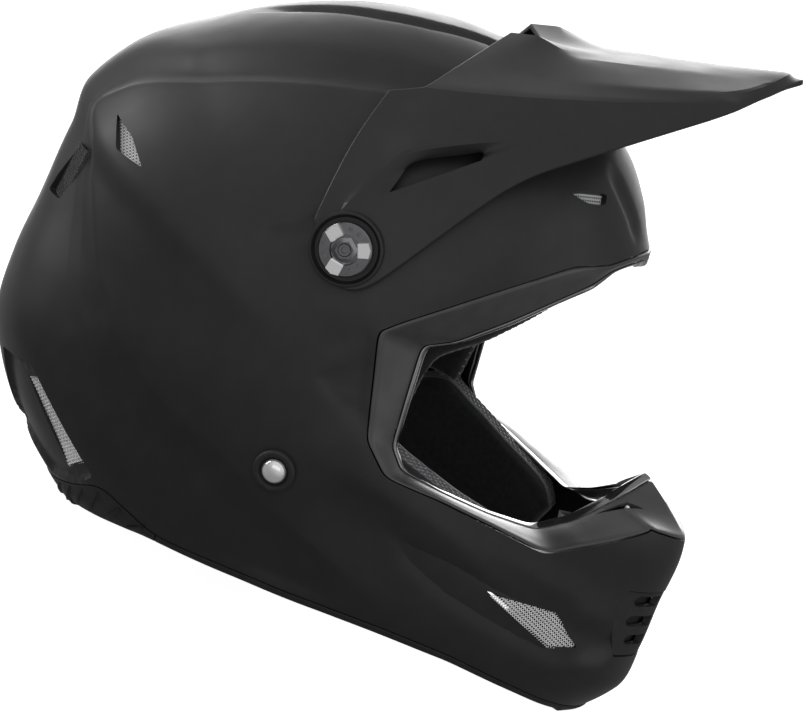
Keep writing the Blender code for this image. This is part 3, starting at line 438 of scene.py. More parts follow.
def join(*shapes):
    verts, faces = [], []
    for part_verts, part_faces in shapes:
        start = len(verts)
        verts += list(part_verts)
        faces += [tuple(start + i for i in face) for face in part_faces]
    return verts, faces


def rounded(points, radius):
    """Rounds a closed profile's corners: each corner becomes three points."""
    points = [np.array(p, float) for p in points]
    found = []
    for before, corner, after in zip(points[-1:] + points[:-1], points, points[1:] + points[:1]):
        a, b = before - corner, after - corner
        reach = min(radius, np.linalg.norm(a) * 0.45, np.linalg.norm(b) * 0.45)
        a, b = corner + reach * a / np.linalg.norm(a), corner + reach * b / np.linalg.norm(b)
        found += [a, 0.25 * a + 0.5 * corner + 0.25 * b, b]
    return found


# ---- materials ------------------------------------------------------------------------------------
def new_material(name, color, roughness, metallic=0.0, sockets=None):
    """Node tree and Principled shader of a new material; sockets holds the other inputs' values."""
    made = bpy.data.materials.new(name)
    made.use_nodes = True
    shader = made.node_tree.nodes["Principled BSDF"]
    shader.inputs["Base Color"].default_value = (*color, 1.0)
    shader.inputs["Roughness"].default_value = roughness
    shader.inputs["Metallic"].default_value = metallic
    for key, value in (sockets or {}).items():
        shader.inputs[key].default_value = value
    MATERIALS[name] = made
    return made.node_tree, shader


def add_node(tree, kind, inputs=None, **settings):
    node = tree.nodes.new(kind)
    for key, value in settings.items():
        setattr(node, key, value)
    for key, value in (inputs or {}).items():
        socket = node.inputs[key]
        if isinstance(value, bpy.types.NodeSocket):
            tree.links.new(value, socket)
        else:
            socket.default_value = value
    return node


def maths(tree, operation, *values):
    return add_node(tree, "ShaderNodeMath", dict(enumerate(values)), operation=operation).outputs[0]


def object_noise(tree, scale, detail=2.0, rough=0.5):
    coords = add_node(tree, "ShaderNodeTexCoord").outputs["Object"]
    return add_node(tree, "ShaderNodeTexNoise", {"Vector": coords, "Scale": scale, "Detail": detail,
                                                 "Roughness": rough}).outputs["Fac"]


def bump(tree, shader, height, depth):
    """Raises the surface by depth metres where height is 1."""
    made = add_node(tree, "ShaderNodeBump", {"Height": height, "Distance": depth, "Strength": 1.0})
    tree.links.new(made.outputs[0], shader.inputs["Normal"])


def vary(tree, shader, socket, factor, low, high):
    """Drives a socket between two values, or two colours, by a factor from 0.3 to 0.7."""
    if isinstance(low, tuple):
        ramp = add_node(tree, "ShaderNodeValToRGB", {0: factor})
        ramp.color_ramp.elements[0].position, ramp.color_ramp.elements[1].position = 0.3, 0.7
        ramp.color_ramp.elements[0].color, ramp.color_ramp.elements[1].color = (*low, 1), (*high, 1)
        tree.links.new(ramp.outputs[0], shader.inputs[socket])
    else:
        spread = add_node(tree, "ShaderNodeMapRange", {0: factor, 1: 0.3, 2: 0.7, 3: low, 4: high})
        tree.links.new(spread.outputs[0], shader.inputs[socket])


def surface_axes(tree):
    """The piece's own surface coordinates, in metres."""
    coords = add_node(tree, "ShaderNodeUVMap", uv_map="surface").outputs[0]
    split = add_node(tree, "ShaderNodeSeparateXYZ", {0: coords})
    return split.outputs[0], split.outputs[1]


def wave(tree, axis, pitch):
    """Sine of an axis, from 0 to 1, once per pitch in metres."""
    turn = maths(tree, "MULTIPLY_ADD", axis, 2 * math.pi / pitch, 0.0)
    return maths(tree, "MULTIPLY_ADD", maths(tree, "SINE", turn), 0.5, 0.5)


# Per look: colour, roughness, metallic and other sockets; then noises, each as (scale, detail, roughness),
# with the bump's depth in metres, the roughness's range and the colour's range that they drive.
NOISE_LOOKS = {
    # matte paint: a fine even tooth, and slow changes in how much it scatters
    "matte_paint": ((0.017, 0.017, 0.018), 0.46, 0.0, {"Specular IOR Level": 0.42},
                    ((2600.0, 3.0, 0.6), 0.000022), ((38.0, 4.0, 0.6), 0.42, 0.5),
                    ((90.0, 5.0, 0.65), (0.0145, 0.0145, 0.0155), (0.0195, 0.0195, 0.0205))),
    "satin_moulding": ((0.06, 0.06, 0.062), 0.36, 0.0, {},
                       ((1500.0, 4.0, 0.65), 0.00003), ((60.0, 4.0), 0.31, 0.4),
                       ((120.0, 5.0), (0.055, 0.055, 0.057), (0.068, 0.068, 0.07))),
    "gloss_edge": ((0.03, 0.03, 0.031), 0.1, 0.0, {"IOR": 2.6, "Coat Weight": 0.6, "Coat Roughness": 0.06},
                   ((260.0, 2.0), 0.00002), None,
                   ((200.0, 3.0), (0.025, 0.025, 0.026), (0.035, 0.035, 0.036))),
    "rubber": ((0.013, 0.013, 0.013), 0.62, 0.0, {},
               ((1900.0, 5.0, 0.7), 0.00005), ((70.0, 4.0), 0.55, 0.7),
               ((300.0, 5.0), (0.010, 0.010, 0.010), (0.018, 0.018, 0.017))),
    # vent wire: aluminium with a near-white diffuse colour, partly its own colour, partly painted reflection
    "wire": ((0.97, 0.97, 0.98), 0.42, 0.1, {},
             ((3000.0, 2.0), 0.00002), ((500.0, 3.0), 0.35, 0.5), None),
    "smoked_chrome": ((0.2, 0.2, 0.21), 0.2, 1.0, {},
                      ((900.0, 3.0), 0.00001), ((300.0, 4.0), 0.14, 0.26), None),
    # chrome with a near-white diffuse share: partly real chrome, partly painted reflection that keeps it
    # bright
    "bright_chrome": ((0.97, 0.97, 0.98), 0.1, 0.6, {},
                      ((700.0, 3.0), 0.000006), ((350.0, 4.0), 0.05, 0.12), None),
    # brushed plush: a short pile that catches light at its edges
    "plush": ((0.012, 0.012, 0.013), 0.95, 0.0, {"Sheen Weight": 0.25, "Sheen Roughness": 0.4},
              ((1100.0, 6.0, 0.75), 0.00035), None,
              ((420.0, 6.0, 0.7), (0.007, 0.007, 0.008), (0.02, 0.02, 0.022))),
    # spacer mesh: yarn bundles with a fine grain
    "yarn": ((0.11, 0.11, 0.115), 0.7, 0.0, {"Sheen Weight": 0.35},
             ((4200.0, 3.0), 0.00006), None,
             ((900.0, 4.0), (0.08, 0.08, 0.085), (0.14, 0.14, 0.15))),
    "thread": ((0.06, 0.06, 0.063), 0.7, 0.0, {},
               ((5000.0, 2.0), 0.00005), None,
               ((1500.0, 3.0), (0.045, 0.045, 0.048), (0.08, 0.08, 0.084))),
}
# per foam: name, colour in the grooves between beads (painted shade), colour of the beads, roughness
FOAM_LOOKS = (("grey_foam", (0.055, 0.055, 0.058), (0.095, 0.095, 0.1), 0.7),
              ("white_foam", (0.66, 0.66, 0.64), (0.84, 0.84, 0.82), 0.65))
WEFT_PITCH, RIB_PITCH = 0.0011, 0.0014      # metres


def make_materials():
    """Fills MATERIALS."""
    for name, (color, roughness, metallic, sockets, tooth, gloss, tint) in NOISE_LOOKS.items():
        tree, shader = new_material(name, color, roughness, metallic, sockets)
        bump(tree, shader, object_noise(tree, *tooth[0]), tooth[1])
        for socket, drive in (("Roughness", gloss), ("Base Color", tint)):
            if drive:
                vary(tree, shader, socket, object_noise(tree, *drive[0]), *drive[1:])

    # bead foams: rounded cells pressed together, their colour darker in the grooves between cells as painted
    # shade
    for name, low, high, rough in FOAM_LOOKS:
        tree, shader = new_material(name, high, rough)
        coords = add_node(tree, "ShaderNodeTexCoord").outputs["Object"]
        cells = add_node(tree, "ShaderNodeTexVoronoi", {"Vector": coords, "Scale": 330.0},
                         feature="DISTANCE_TO_EDGE").outputs["Distance"]
        round_cells = maths(tree, "MINIMUM", maths(tree, "MULTIPLY", cells, 3.0), 1.0)
        bump(tree, shader, maths(tree, "POWER", round_cells, 0.5), 0.00035)
        vary(tree, shader, "Base Color", round_cells, low, high)

    # webbing: ribs along the strap, crossed by the weft; the colour is lighter on the weave's crests and
    # darker in its hollows, as painted shade
    tree, shader = new_material("webbing_weave", (0.015, 0.015, 0.016), 0.8, 0.0, {"Sheen Weight": 0.2})
    across, along = surface_axes(tree)
    weft, rib = wave(tree, along, WEFT_PITCH), wave(tree, across, RIB_PITCH)
    cloth = maths(tree, "ADD", maths(tree, "MULTIPLY", rib, 0.6), maths(tree, "MULTIPLY", weft, 0.4))
    bump(tree, shader, cloth, 0.00025)
    vary(tree, shader, "Base Color", maths(tree, "MULTIPLY", rib, weft), (0.008, 0.008, 0.009),
         (0.026, 0.026, 0.028))

    tree, shader = new_material("pale_floor", (0.3, 0.3, 0.3), 0.7, 0.0,
                                {"Emission Color": (1.0, 1.0, 1.0, 1.0), "Emission Strength": 0.97})
    vary(tree, shader, "Roughness", object_noise(tree, 9.0), 0.65, 0.75)


make_materials()


# ---- outer shell ----------------------------------------------------------------------------------
def soft_line(points, steps, ghosts, rounds):
    """Straight runs between points, steps samples to each, with their corners smoothed."""
    points = np.array([np.array(p, float) for p in points])
    t = np.arange((len(points) - 1) * steps + 1) / steps
    i = np.minimum(t.astype(int), len(points) - 2)
    line = points[i] + (t - i)[:, None] * (points[i + 1] - points[i])
    start = points[0] + (ghosts[0] - points[0]) / steps
    stop = points[-1] + (ghosts[1] - points[-1]) / steps
    for _ in range(rounds):
        padded = np.concatenate([[start], line, [stop]])
        inner = (0.25 * padded[:-2] + 0.5 * line + 0.25 * padded[2:])[1:-1]
        line = np.concatenate([line[:1], inner, line[-1:]])
    return line


def eyeport_curves(steps):
    """The shell's eyeport edge in the disc and the opening's edge in space, nose to brow."""
    edge = [rim_point(NOSE_ANGLE)] + [SHELL.chart(*s[0]) for s in EYEPORT] + [rim_point(BROW_ANGLE)]
    lip = [np.array(NOSE_EDGE, float)] + [np.array(s[1], float) for s in EYEPORT]
    lip.append(np.array(BROW_EDGE, float))
    ghosts = (lip[1] * (1, -1, 1), lip[-2] * (1, -1, 1))
    over = (over_edge(edge[0], edge[1]), over_edge(edge[-1], edge[-2]))
    rounds = int(0.035 * steps * steps)
    discs = soft_line(edge, steps, over, rounds)
    # between its first and last points the edge runs straight in side view
    side_view = [(NOSE_EDGE[0], NOSE_EDGE[2])] + [p for p, _ in EYEPORT] + [(BROW_EDGE[0], BROW_EDGE[2])]
    flat = soft_line(side_view, steps, (np.array(side_view[1]), np.array(side_view[-2])), rounds)
    discs[steps:-steps] = [SHELL.chart(*p) for p in flat[steps:-steps]]
    return discs, soft_line(lip, steps, ghosts, rounds)


def rim_curves(count):
    """The shell's lower edge and the base line under it, both in the disc, rear to chin."""
    edge = [rim_point(REAR_RIM_ANGLE)] + [SHELL.chart(*s[0]) for s in RIM] + [rim_point(CHIN_RIM_ANGLE)]
    base = [rim_point(REAR_BASE_ANGLE)] + [SHELL.chart(*s[1]) for s in RIM] + [rim_point(CHIN_BASE_ANGLE)]
    upper, params = disc_curve(edge, count=count)
    return upper, disc_curve(base, params)[0]


def last_inside(place, low, high, rounds):
    """Farthest number between low and high whose place lies inside the shell's surface."""
    for _ in range(rounds):
        middle = (low + high) / 2
        low, high = (middle, high) if SHELL.level(np.array(place(middle))) < 1 else (low, middle)
    return low


def front_x(y, z):
    """Forward reach of the shell at a height and a distance from the middle plane."""
    return last_inside(lambda x: [x, y, z], 60.0, 200.0, 40)


def along_polygon(corners, spacing, closed=True, soften=0.0):
    """Points along a polygon's edges, with its corners softened."""
    corners = [np.array(c, float) for c in corners]
    if soften:
        corners = rounded(corners, soften)
    ring = corners + corners[:1] if closed else corners
    found = []
    for a, b in zip(ring, ring[1:]):
        count = max(1, int(round(np.linalg.norm(b - a) / spacing)))
        found += [a + (b - a) * k / count for k in range(count)]
    return found if closed else found + [ring[-1]]


def inside(points, loop):
    """Which 2-D points lie inside a closed loop."""
    loop = np.asarray(loop)
    x, y = points[:, 0][:, None], points[:, 1][:, None]
    x0, y0 = loop[:, 0][None], loop[:, 1][None]
    x1, y1 = np.roll(loop[:, 0], -1)[None], np.roll(loop[:, 1], -1)[None]
    crosses = (y0 > y) != (y1 > y)
    rise = np.where(y1 == y0, 1e-12, y1 - y0)
    return (crosses & (x < (x1 - x0) * (y - y0) / rise + x0)).sum(1) % 2 == 1


def to_line(points, line):
    """Distance to a polyline, the side of it (positive on its left) and the share of its length."""
    line = np.asarray(line, float)
    a, b = line[:-1], line[1:]
    run = b - a
    lengths = np.linalg.norm(run, axis=1)
    starts = np.concatenate([[0], np.cumsum(lengths)])
    best = np.full(len(points), np.inf)
    side, share = np.zeros(len(points)), np.zeros(len(points))
    for k in range(len(a)):
        offset = points - a[k]
        t = np.clip(offset @ run[k] / lengths[k] ** 2, 0, 1)
        apart = offset - t[:, None] * run[k]
        distance = np.hypot(apart[:, 0], apart[:, 1])
        near = distance < best
        best = np.where(near, distance, best)
        turn = run[k, 0] * offset[:, 1] - run[k, 1] * offset[:, 0]
        side = np.where(near, np.sign(turn), side)
        share = np.where(near, (starts[k] + t * lengths[k]) / starts[-1], share)
    return best, side, share


def crease_line(points, count=40):
    """A crease's points as a smooth line in the disc."""
    if len(points[0]) == 3:
        points = [SHELL.chart_3d(np.array(p, float)) for p in points]
    else:
        points = [SHELL.chart(*p) for p in points]
    return curve(points, np.linspace(0, len(points) - 1, count))


def dip(signed, depth, width, soft, peak):
    """Depth beyond a crease, from 0 at it to depth and back; soft rounds the crease."""
    signed = 0.5 * (signed + np.sqrt(signed ** 2 + soft ** 2))
    t = np.clip(signed / width, 0, 1)
    power = (1 - peak) / peak
    return depth * t * (1 - t) ** power / (peak * (1 - peak) ** power)


def fall(discs, points, side, depth, width, soft, ends, peak):
    """Depth by which the surface falls away on one side of a crease, before it comes back."""
    distance, hand, share = to_line(discs, crease_line(points))
    signed = distance * np.where(hand == 0, 1, hand) * side * DISC_SCALE
    weight = smooth_step(share / ends[0]) if ends[0] else 1.0
    weight = weight * (smooth_step((1 - share) / ends[1]) if ends[1] else 1.0)
    return dip(signed, depth, width, soft, peak) * weight


# depth and width of the fall beyond the side panel's edge, at shares of the edge's length
PANEL_SHARES = [0.0, 0.3, 0.38, 0.62, 0.72, 0.93, 1.0]
PANEL_DEPTHS = [3.0, 3.0, 4.2, 4.2, 3.6, 2.6, 0.0]
PANEL_WIDTHS = [30, 30, 50, 62, 58, 50, 40]
# crease, the side that falls away, depth, width, rounding, shares of its length that fade in and out, and
# where in the width the fall is deepest
FALLS = [(CHEEK_FOLD, 1, 1.2, 60, 3.0, (0.3, 0.2), 0.33), (CHIN_RIDGE, -1, 3.0, 40, 1.2, (0.2, 0.12), 0.3),
         (BROW_RIDGE, 1, 1.6, 16, 1.2, (0.25, 0.3), 0.33), (BOSS_STEP, -1, 1.3, 14, 0.5, (0.4, 0.0), 0.2)]
# outline, depth, width of the sloping side and rounding of the corners
RECESSES = [(CHIN_RECESS, 2.4, 9.0, 5.0), (REAR_RECESS, 2.8, 2.4, 1.0)]
CHANNEL_DEPTH = 3.4             # of the channels beside the raised strip over the crown


def panel_fall(discs):
    """Depth by which the shell falls away above, behind and below its raised side panel."""
    line = crease_line(PANEL_EDGE, 160)
    distance, _, share = to_line(discs, line)
    ring = np.concatenate([line, [SHELL.chart(*p) for p in PANEL_CLOSING]])
    signed = distance * np.where(inside(discs, ring), -1, 1) * DISC_SCALE
    depth, width = (np.interp(share, PANEL_SHARES, values) for values in (PANEL_DEPTHS, PANEL_WIDTHS))
    return dip(signed, depth, width, 0.7, 0.26)


def sink(discs, outline, depth, slope, soften):
    """Depth of a recess with sloping sides inside an outline of x, z points."""
    ring = [SHELL.chart(*p) for p in along_polygon(outline, 4.0, soften=soften)]
    distance = to_line(discs, ring + ring[:1])[0] * DISC_SCALE
    signed = np.where(inside(discs, ring), distance, 0.0)
    return depth * smooth_step(signed / slope)


def relief(discs, points):
    """Depth of the moulded shape below the plain dome."""
    y, x = np.abs(points[:, 1]), points[:, 0]
    found = panel_fall(discs)
    for crease in FALLS:
        found += fall(discs, *crease)
    for recess in RECESSES:
        found += sink(discs, *recess)
    # channel on each side of the raised strip over the crown
    into = np.interp(x, STRIP_X, STRIP_HALF) - y
    reach = smooth_step((x + 118) / 30) * smooth_step((60 - x) / 40) * (points[:, 2] > 170)
    soft = 0.5 * (into + np.sqrt(into ** 2 + 0.6 ** 2))
    drop = smooth_step(soft / 3.0) * (1 - smooth_step((into - 9.0) / 5.0))
    found += CHANNEL_DEPTH * drop * reach
    edges = eyeport_curves(10)[0], rim_curves(60)[0]
    edge_gap = np.minimum(*(to_line(discs, edge)[0] for edge in edges)) * DISC_SCALE
    return found * smooth_step(edge_gap / 5.0)


def hex_lattice(step, reach=1.02):
    """Points of a honeycomb over the disc."""
    rise = step * math.sqrt(3) / 2
    rows = int(reach / rise)
    found = []
    for j in range(-rows, rows + 1):
        shift = step / 2 if j % 2 else 0.0
        xs = np.arange(-int(reach / step) - 1, int(reach / step) + 2) * step + shift
        found.append(np.stack([xs, np.full(len(xs), j * rise)], 1))
    return np.concatenate(found)


def shell_loops():
    """The left half's boundary in the disc and its vents' outlines."""
    edge = list(eyeport_curves(11)[0])
    crown = [rim_point(a) for a in np.linspace(BROW_ANGLE, REAR_RIM_ANGLE, 230)][1:-1]
    rim = list(rim_curves(150)[0])
    notch = [(0.0, GRILLE_ROWS[-1][0])] + [(half, z) for z, half in GRILLE_ROWS[::-1]]
    notch.append((0.0, GRILLE_ROWS[0][0]))
    notch = [(y, z) for y, z in along_polygon(notch, 2.2, closed=False)]
    cut = [SHELL.chart_3d(np.array([front_x(y, z), y, z])) for y, z in notch]
    low, high = (math.degrees(math.atan2(c[1], c[0])) for c in (cut[0], cut[-1]))
    chin_low = [rim_point(a) for a in np.linspace(CHIN_RIM_ANGLE, low, 8)][1:-1]
    chin_high = [rim_point(a) for a in np.linspace(high, NOSE_ANGLE, 22)][1:-1]
    cut[0], cut[-1] = rim_point(low), rim_point(high)
    loop = edge + crown + rim + chin_low + cut + chin_high
    vents = []
    for outline in VENTS.values():
        vents.append([SHELL.chart(*p) for p in along_polygon(outline, 1.6, soften=1.2)])
    return np.array(loop), [np.array(v) for v in vents]


def triangulate(loops, extra, step):
    """Triangles of the area inside the first loop and outside the others, with the loops' points first."""
    corners = np.concatenate(loops)
    edges, start = [], 0
    for loop in loops:
        edges += [(start + k, start + (k + 1) % len(loop)) for k in range(len(loop))]
        start += len(loop)
    field = hex_lattice(step)
    if len(extra):
        cell = {}
        keep = []
        for p in extra:
            key = (int(p[0] // step), int(p[1] // step))
            close = [q for i in (-1, 0, 1) for j in (-1, 0, 1)
                     for q in cell.get((key[0] + i, key[1] + j), ())]
            if all(np.hypot(*(p - q)) > 0.5 * step for q in close):
                cell.setdefault(key, []).append(p)
                keep.append(p)
        extra = np.array(keep)
        near = np.full(len(field), np.inf)
        for p in extra:
            near = np.minimum(near, (field[:, 0] - p[0]) ** 2 + (field[:, 1] - p[1]) ** 2)
        field = np.concatenate([extra, field[near > (0.62 * step) ** 2]])
    good = inside(field, loops[0])
    for loop in loops[1:]:
        good &= ~inside(field, loop)
    field = field[good]
    clear = np.full(len(field), np.inf)
    for loop in loops:
        clear = np.minimum(clear, to_line(field, np.concatenate([loop, loop[:1]]))[0])
    field = field[clear > 0.45 * step]
    points = np.concatenate([corners, field])
    found = delaunay_2d_cdt([Vector(p) for p in points.tolist()], edges, [], 0, 1e-9)
    verts, faces = np.array([tuple(v) for v in found[0]]), [tuple(f) for f in found[2]]
    origin = np.array([ids[0] if ids else -1 for ids in found[3]])
    assert len(verts) == len(points) and (origin >= 0).all()
    faces = origin[np.array(faces)]
    middle = points[faces].mean(1)
    good = inside(middle, loops[0])
    for loop in loops[1:]:
        good &= ~inside(middle, loop)
    return points, faces[good]


OUTER_STEP, INNER_STEP = 0.0115, 0.03       # size of the triangles in the disc
CREASE_ROW = 1.7                            # millimetres from a crease to the rows of points beside it


def make_shell():
    """Outer shell: a fine, creased outer surface and a coarse inner one, joined at the edges and vents."""
    loop, vents = shell_loops()
    loops = [loop] + vents
    lines = []
    creases = [crease_line(points, int(len(points) * 12)) for points in
               (PANEL_EDGE, CHIN_RIDGE, BROW_RIDGE, BOSS_STEP)]
    creases.append(np.array([SHELL.chart(*p) for p in along_polygon(REAR_RECESS, 2.2, soften=1.0)]))
    for line in creases:
        run = np.gradient(line, axis=0)
        aside = np.stack([-run[:, 1], run[:, 0]], 1) / np.linalg.norm(run, axis=1)[:, None] / DISC_SCALE
        lines += [line, line + CREASE_ROW * aside, line - CREASE_ROW * aside]
    edge_x = np.arange(-116, 58, 2.0)
    edge_y = np.interp(edge_x, STRIP_X, STRIP_HALF)
    for into in (-1.6, 0.0, 1.5, 3.0, 4.6):
        row = []
        for x, y in zip(edge_x, edge_y - into):
            top = last_inside(lambda z: [x, y, z], 150.0, 300.0, 30)
            row.append(SHELL.chart_3d(np.array([x, y, top])))
        lines.append(np.array(row))
    fine = triangulate(loops, np.concatenate(lines), OUTER_STEP)
    coarse = triangulate(loops, [], INNER_STEP)
    outer = SHELL.point(fine[0])
    normals = SHELL.normal(outer)
    outer = outer - relief(fine[0], outer)[:, None] * normals
    outer[np.hypot(*fine[0].T) > 1 - 1e-9, 1] = 0.0
    inner = SHELL.point(coarse[0], SHELL_WALL)
    inner[np.hypot(*coarse[0].T) > 1 - 1e-9, 1] = 0.0
    back = len(outer)
    faces = [tuple(f) for f in fine[1]] + [tuple(back + f[::-1]) for f in coarse[1]]
    start = 0
    on_plane = np.abs(np.hypot(*fine[0].T) - 1) < 1e-9
    for ring in loops:
        size = len(ring)
        for k in range(size):
            a, b = start + k, start + (k + 1) % size
            if not (on_plane[a] and on_plane[b]):
                faces.append((a, b, back + b, back + a))
        start += size
    half = np.concatenate([outer, inner])
    verts = np.concatenate([half, mirrored(half)])
    size = len(half)
    faces += [tuple(size + i for i in face[::-1]) for face in faces]
    piece("helmet_shell", verts, faces, "matte_paint", "shell", "matte_shell", "outer_shell", sharp=42)


make_shell()


# ---- eyeport trim and rim trims ---------------------------------------------------------------------
def ring_around(sections_left):
    """Closed ring of sections from left-side sections that run from middle plane to middle plane."""
    right = [mirrored(section) for section in sections_left[-2:0:-1]]
    return loft(sections_left + right, True)


def make_eyeport_trim():
    """Satin moulding from the shell's eyeport edge to the opening, and its glossy lip."""
    edge, lip = eyeport_curves(10)
    sections, beads = [], []
    for q, end in zip(edge, lip):
        start = SHELL.point(q)
        inward = -SHELL.normal(start)
        inward[1] = 0.0 if start[1] == 0 else inward[1]
        run = unit(end - start)
        aside = run - np.dot(run, inward) * inward
        aside = unit(aside)
        root = start + 0.9 * aside
        flat = end - root
        span = np.linalg.norm(flat)
        flat /= span
        out = -inward + np.dot(inward, flat) * flat
        out = unit(out)
        profile = [root + 3.2 * inward, root + 0.5 * inward, root + 0.9 * flat + 0.35 * out,
                   root + 2.2 * flat + 0.75 * out, root + 4.0 * flat + 0.7 * out]
        profile += [root + span * t * flat + 0.9 * math.sin(math.pi * t) * out for t in (0.4, 0.6, 0.8)]
        profile += [end - 1.2 * flat + 0.25 * out, end, end + 3.0 * inward,
                    root + 0.6 * span * flat + 3.0 * inward]
        sections.append(profile)
        centre = end + 1.5 * inward + 2.0 * run
        beads.append([centre + 1.8 * (math.cos(a) * run * (1.25 if math.cos(a) > 0 else 0.8)
                                      + math.sin(a) * inward)
                      for a in (k * math.pi / 7 for k in range(14))])
    recesses, screws = [], []
    for side in (1, -1):
        facing = np.array([0.0, 0.36 * side, 0.93])
        corners = [np.array([x, side * y, z]) for x, y, z in NOSE_RECESS]
        recesses.append(prism(corners, 2.0, 4.0, facing))
        screws.append(turned([(0, -2.6), (1.3, -2.6), (1.3, -1.3), (0.8, -0.8), (0, -0.7)],
                             NOSE_SCREW * (1, side, 1), facing, 16))
    mesh = carved("moulding", ring_around(sections), recesses)
    show("eyeport_moulding", mesh, "satin_moulding", "shell", "trim_plastic", "eyeport_trim", 50)
    piece("nose_screws", *join(*screws), "bright_chrome", "shell", "trim_plastic")
    piece("eyeport_edge", *ring_around(beads), "gloss_edge", "shell", "gloss_lip", "eyeport_lip", sharp=60)


def flat_bottom(p):
    """The base line's lowest stretches lie in the plane z = 0."""
    return np.array([p[0], p[1], 0.0]) if p[2] < 1.2 else p


def rim_frames(count):
    """Places along the lower rim, rear to chin: the shell's edge, the base under it and level inwards."""
    upper, lower = rim_curves(count)
    found = []
    for q, b in zip(upper, lower):
        top, bottom = SHELL.point(q), flat_bottom(SHELL.point(b))
        inward = -SHELL.normal(top)
        inward[1] = 0.0 if top[1] < 1e-6 else inward[1]
        level = np.array([inward[0], inward[1], 0.0])
        found.append((top, bottom, unit(level)))
    return found


SEAT_WIDTH, SEAT_DEPTH = 4.3, 4.0      # step of a rubber edge that takes the shell's rim
RIM_PLACES, RIBS = 220, 6


def rim_section(top, bottom, level, wall, proud, swell):
    """Rounded section of a rubber edge, with its outer face swelling by swell."""
    drop = unit(bottom - top)
    root = top + 0.4 * drop
    corners = [root - proud * level, root + SEAT_WIDTH * level,
               root + SEAT_WIDTH * level - SEAT_DEPTH * drop, root + wall * level - SEAT_DEPTH * drop,
               bottom + wall * level, bottom]
    outer_middle = 0.5 * (corners[0] + corners[5]) - swell * level
    return rounded(corners + [outer_middle], 1.5)


def make_rim_trims():
    """The thick rubber roll behind the neck with its ribs, and the thinner edge round the rest."""
    frames = rim_frames(RIM_PLACES)
    split = next(i for i, f in enumerate(frames) if f[1][0] > NECK_ROLL_END)
    neck = [rim_section(*f, 7.0, 0.8, 0.8) for f in frames[:split]]
    sections = [[mirrored(p) for p in s] for s in neck[:0:-1]] + neck
    piece("neck_roll_rubber", *loft(sections), "rubber", "shell", "black_rubber", "neck_roll")
    ribs = []
    for side in (1, -1):
        for k in range(RIBS):
            i = int(round(split * (0.40 + 0.095 * k)))
            (top, bottom, level), ahead = frames[i], frames[i + 5]
            low = bottom + 0.12 * (top - bottom) - 1.0 * level
            high = ahead[0] + 0.2 * (ahead[1] - ahead[0]) - 1.1 * ahead[2]
            width = unit(ahead[0] - top)
            body = []
            for t in np.linspace(0, 1, 5):
                middle = low + (high - low) * t
                tall = 1.7 * math.sin(math.pi * (0.12 + 0.76 * t))
                body.append([middle - 1.1 * width + 0.8 * level, middle - 0.6 * width - tall * level,
                             middle + 0.6 * width - tall * level, middle + 1.1 * width + 0.8 * level])
            ribs.append(loft([[p * (1, side, 1) for p in s] for s in body]))
    piece("neck_roll_ribs", *join(*ribs), "rubber", "shell", "black_rubber")
    start = [tuple(a + 0.5 * (b - a) for a, b in zip(frames[split - 1], frames[split]))]
    band = [rim_section(*f, 5.5, 0.6, 0.35) for f in start + frames[split:]]
    sections = band + [[mirrored(p) for p in s] for s in band[-2::-1]]
    piece("base_trim_rubber", *loft(sections), "rubber", "shell", "black_rubber", "base_trim")


make_eyeport_trim()
make_rim_trims()


# ---- vents --------------------------------------------------------------------------------------------
def woven_wires(outline, side, pitch, wire):
    """Two sets of waved wires that fill a vent's outline, as closed tubes."""
    points = [SHELL.at(x, z) for x, z in outline]
    facing = sum(SHELL.normal(p) for p in points)
    facing = unit(facing)
    centre = sum(points) / len(points)
    longest = max(((b - a) for a, b in zip(points, points[1:] + points[:1])), key=np.linalg.norm)
    first = longest - np.dot(longest, facing) * facing
    first = unit(first)
    second = np.cross(facing, first)
    flat = np.array([[np.dot(p - centre, first), np.dot(p - centre, second)] for p in points])
    middle = flat.mean(0)
    flat = middle + (flat - middle) * 1.02
    turn = math.radians(45)
    spin = np.array([[math.cos(turn), -math.sin(turn)], [math.sin(turn), math.cos(turn)]])
    flat = (flat - middle) @ spin
    shapes = []
    for way in (0, 1):
        along, across = flat[:, way], flat[:, 1 - way]
        rows = int((across.max() - across.min()) / pitch) + 2
        for k in range(-rows, rows + 1):
            level = (k + 0.5) * pitch
            hits = []
            for i in range(len(flat)):
                a, b = across[i - 1], across[i]
                if (a > level) != (b > level):
                    hits.append(along[i - 1] + (level - a) / (b - a) * (along[i] - along[i - 1]))
            if len(hits) != 2 or abs(hits[0] - hits[1]) < pitch:
                continue
            low, high = min(hits), max(hits)
            steps = max(4, int((high - low) / pitch * 4))
            sections = []
            for j in range(steps + 1):
                s = low + (high - low) * j / steps
                lift = wire * 0.55 * math.cos(math.pi * (s / pitch + k + way))
                spot = np.zeros(2)
                spot[way], spot[1 - way] = s, level
                spot = spot @ spin.T + middle
                place = centre + spot[0] * first + spot[1] * second + (lift - 3.1) * facing
                cross_dir = np.zeros(2)
                cross_dir[1 - way] = 1.0
                cross_dir = cross_dir @ spin.T
                wide = cross_dir[0] * first + cross_dir[1] * second
                sections.append([(place + wire / 2 * (math.cos(a) * wide + math.sin(a) * facing))
                                 * (1, side, 1)
                                 for a in (math.pi / 4 + m * math.pi / 2 for m in range(4))])
            shapes.append(loft(sections))
    return join(*shapes)


WIRE_PITCH, WIRE_WIDTH = 1.15, 0.42


def make_vents():
    """Wire weave behind each vent."""
    for name, outline in VENTS.items():
        # the rear exhaust's weave takes the dark moulding look in place of the wire's own: painted shade of
        # its deep slot
        exhaust = name == "rear_exhaust"
        node = "rear_exhaust_mesh" if exhaust else f"{name}_vent_mesh"
        for side, word in SIDES:
            piece(f"{name}_vent_weave_{word}", *woven_wires(outline, side, WIRE_PITCH, WIRE_WIDTH),
                  "satin_moulding" if exhaust else "wire", "shell", "vent_mesh", f"{node}_{word}", sharp=80)


make_vents()


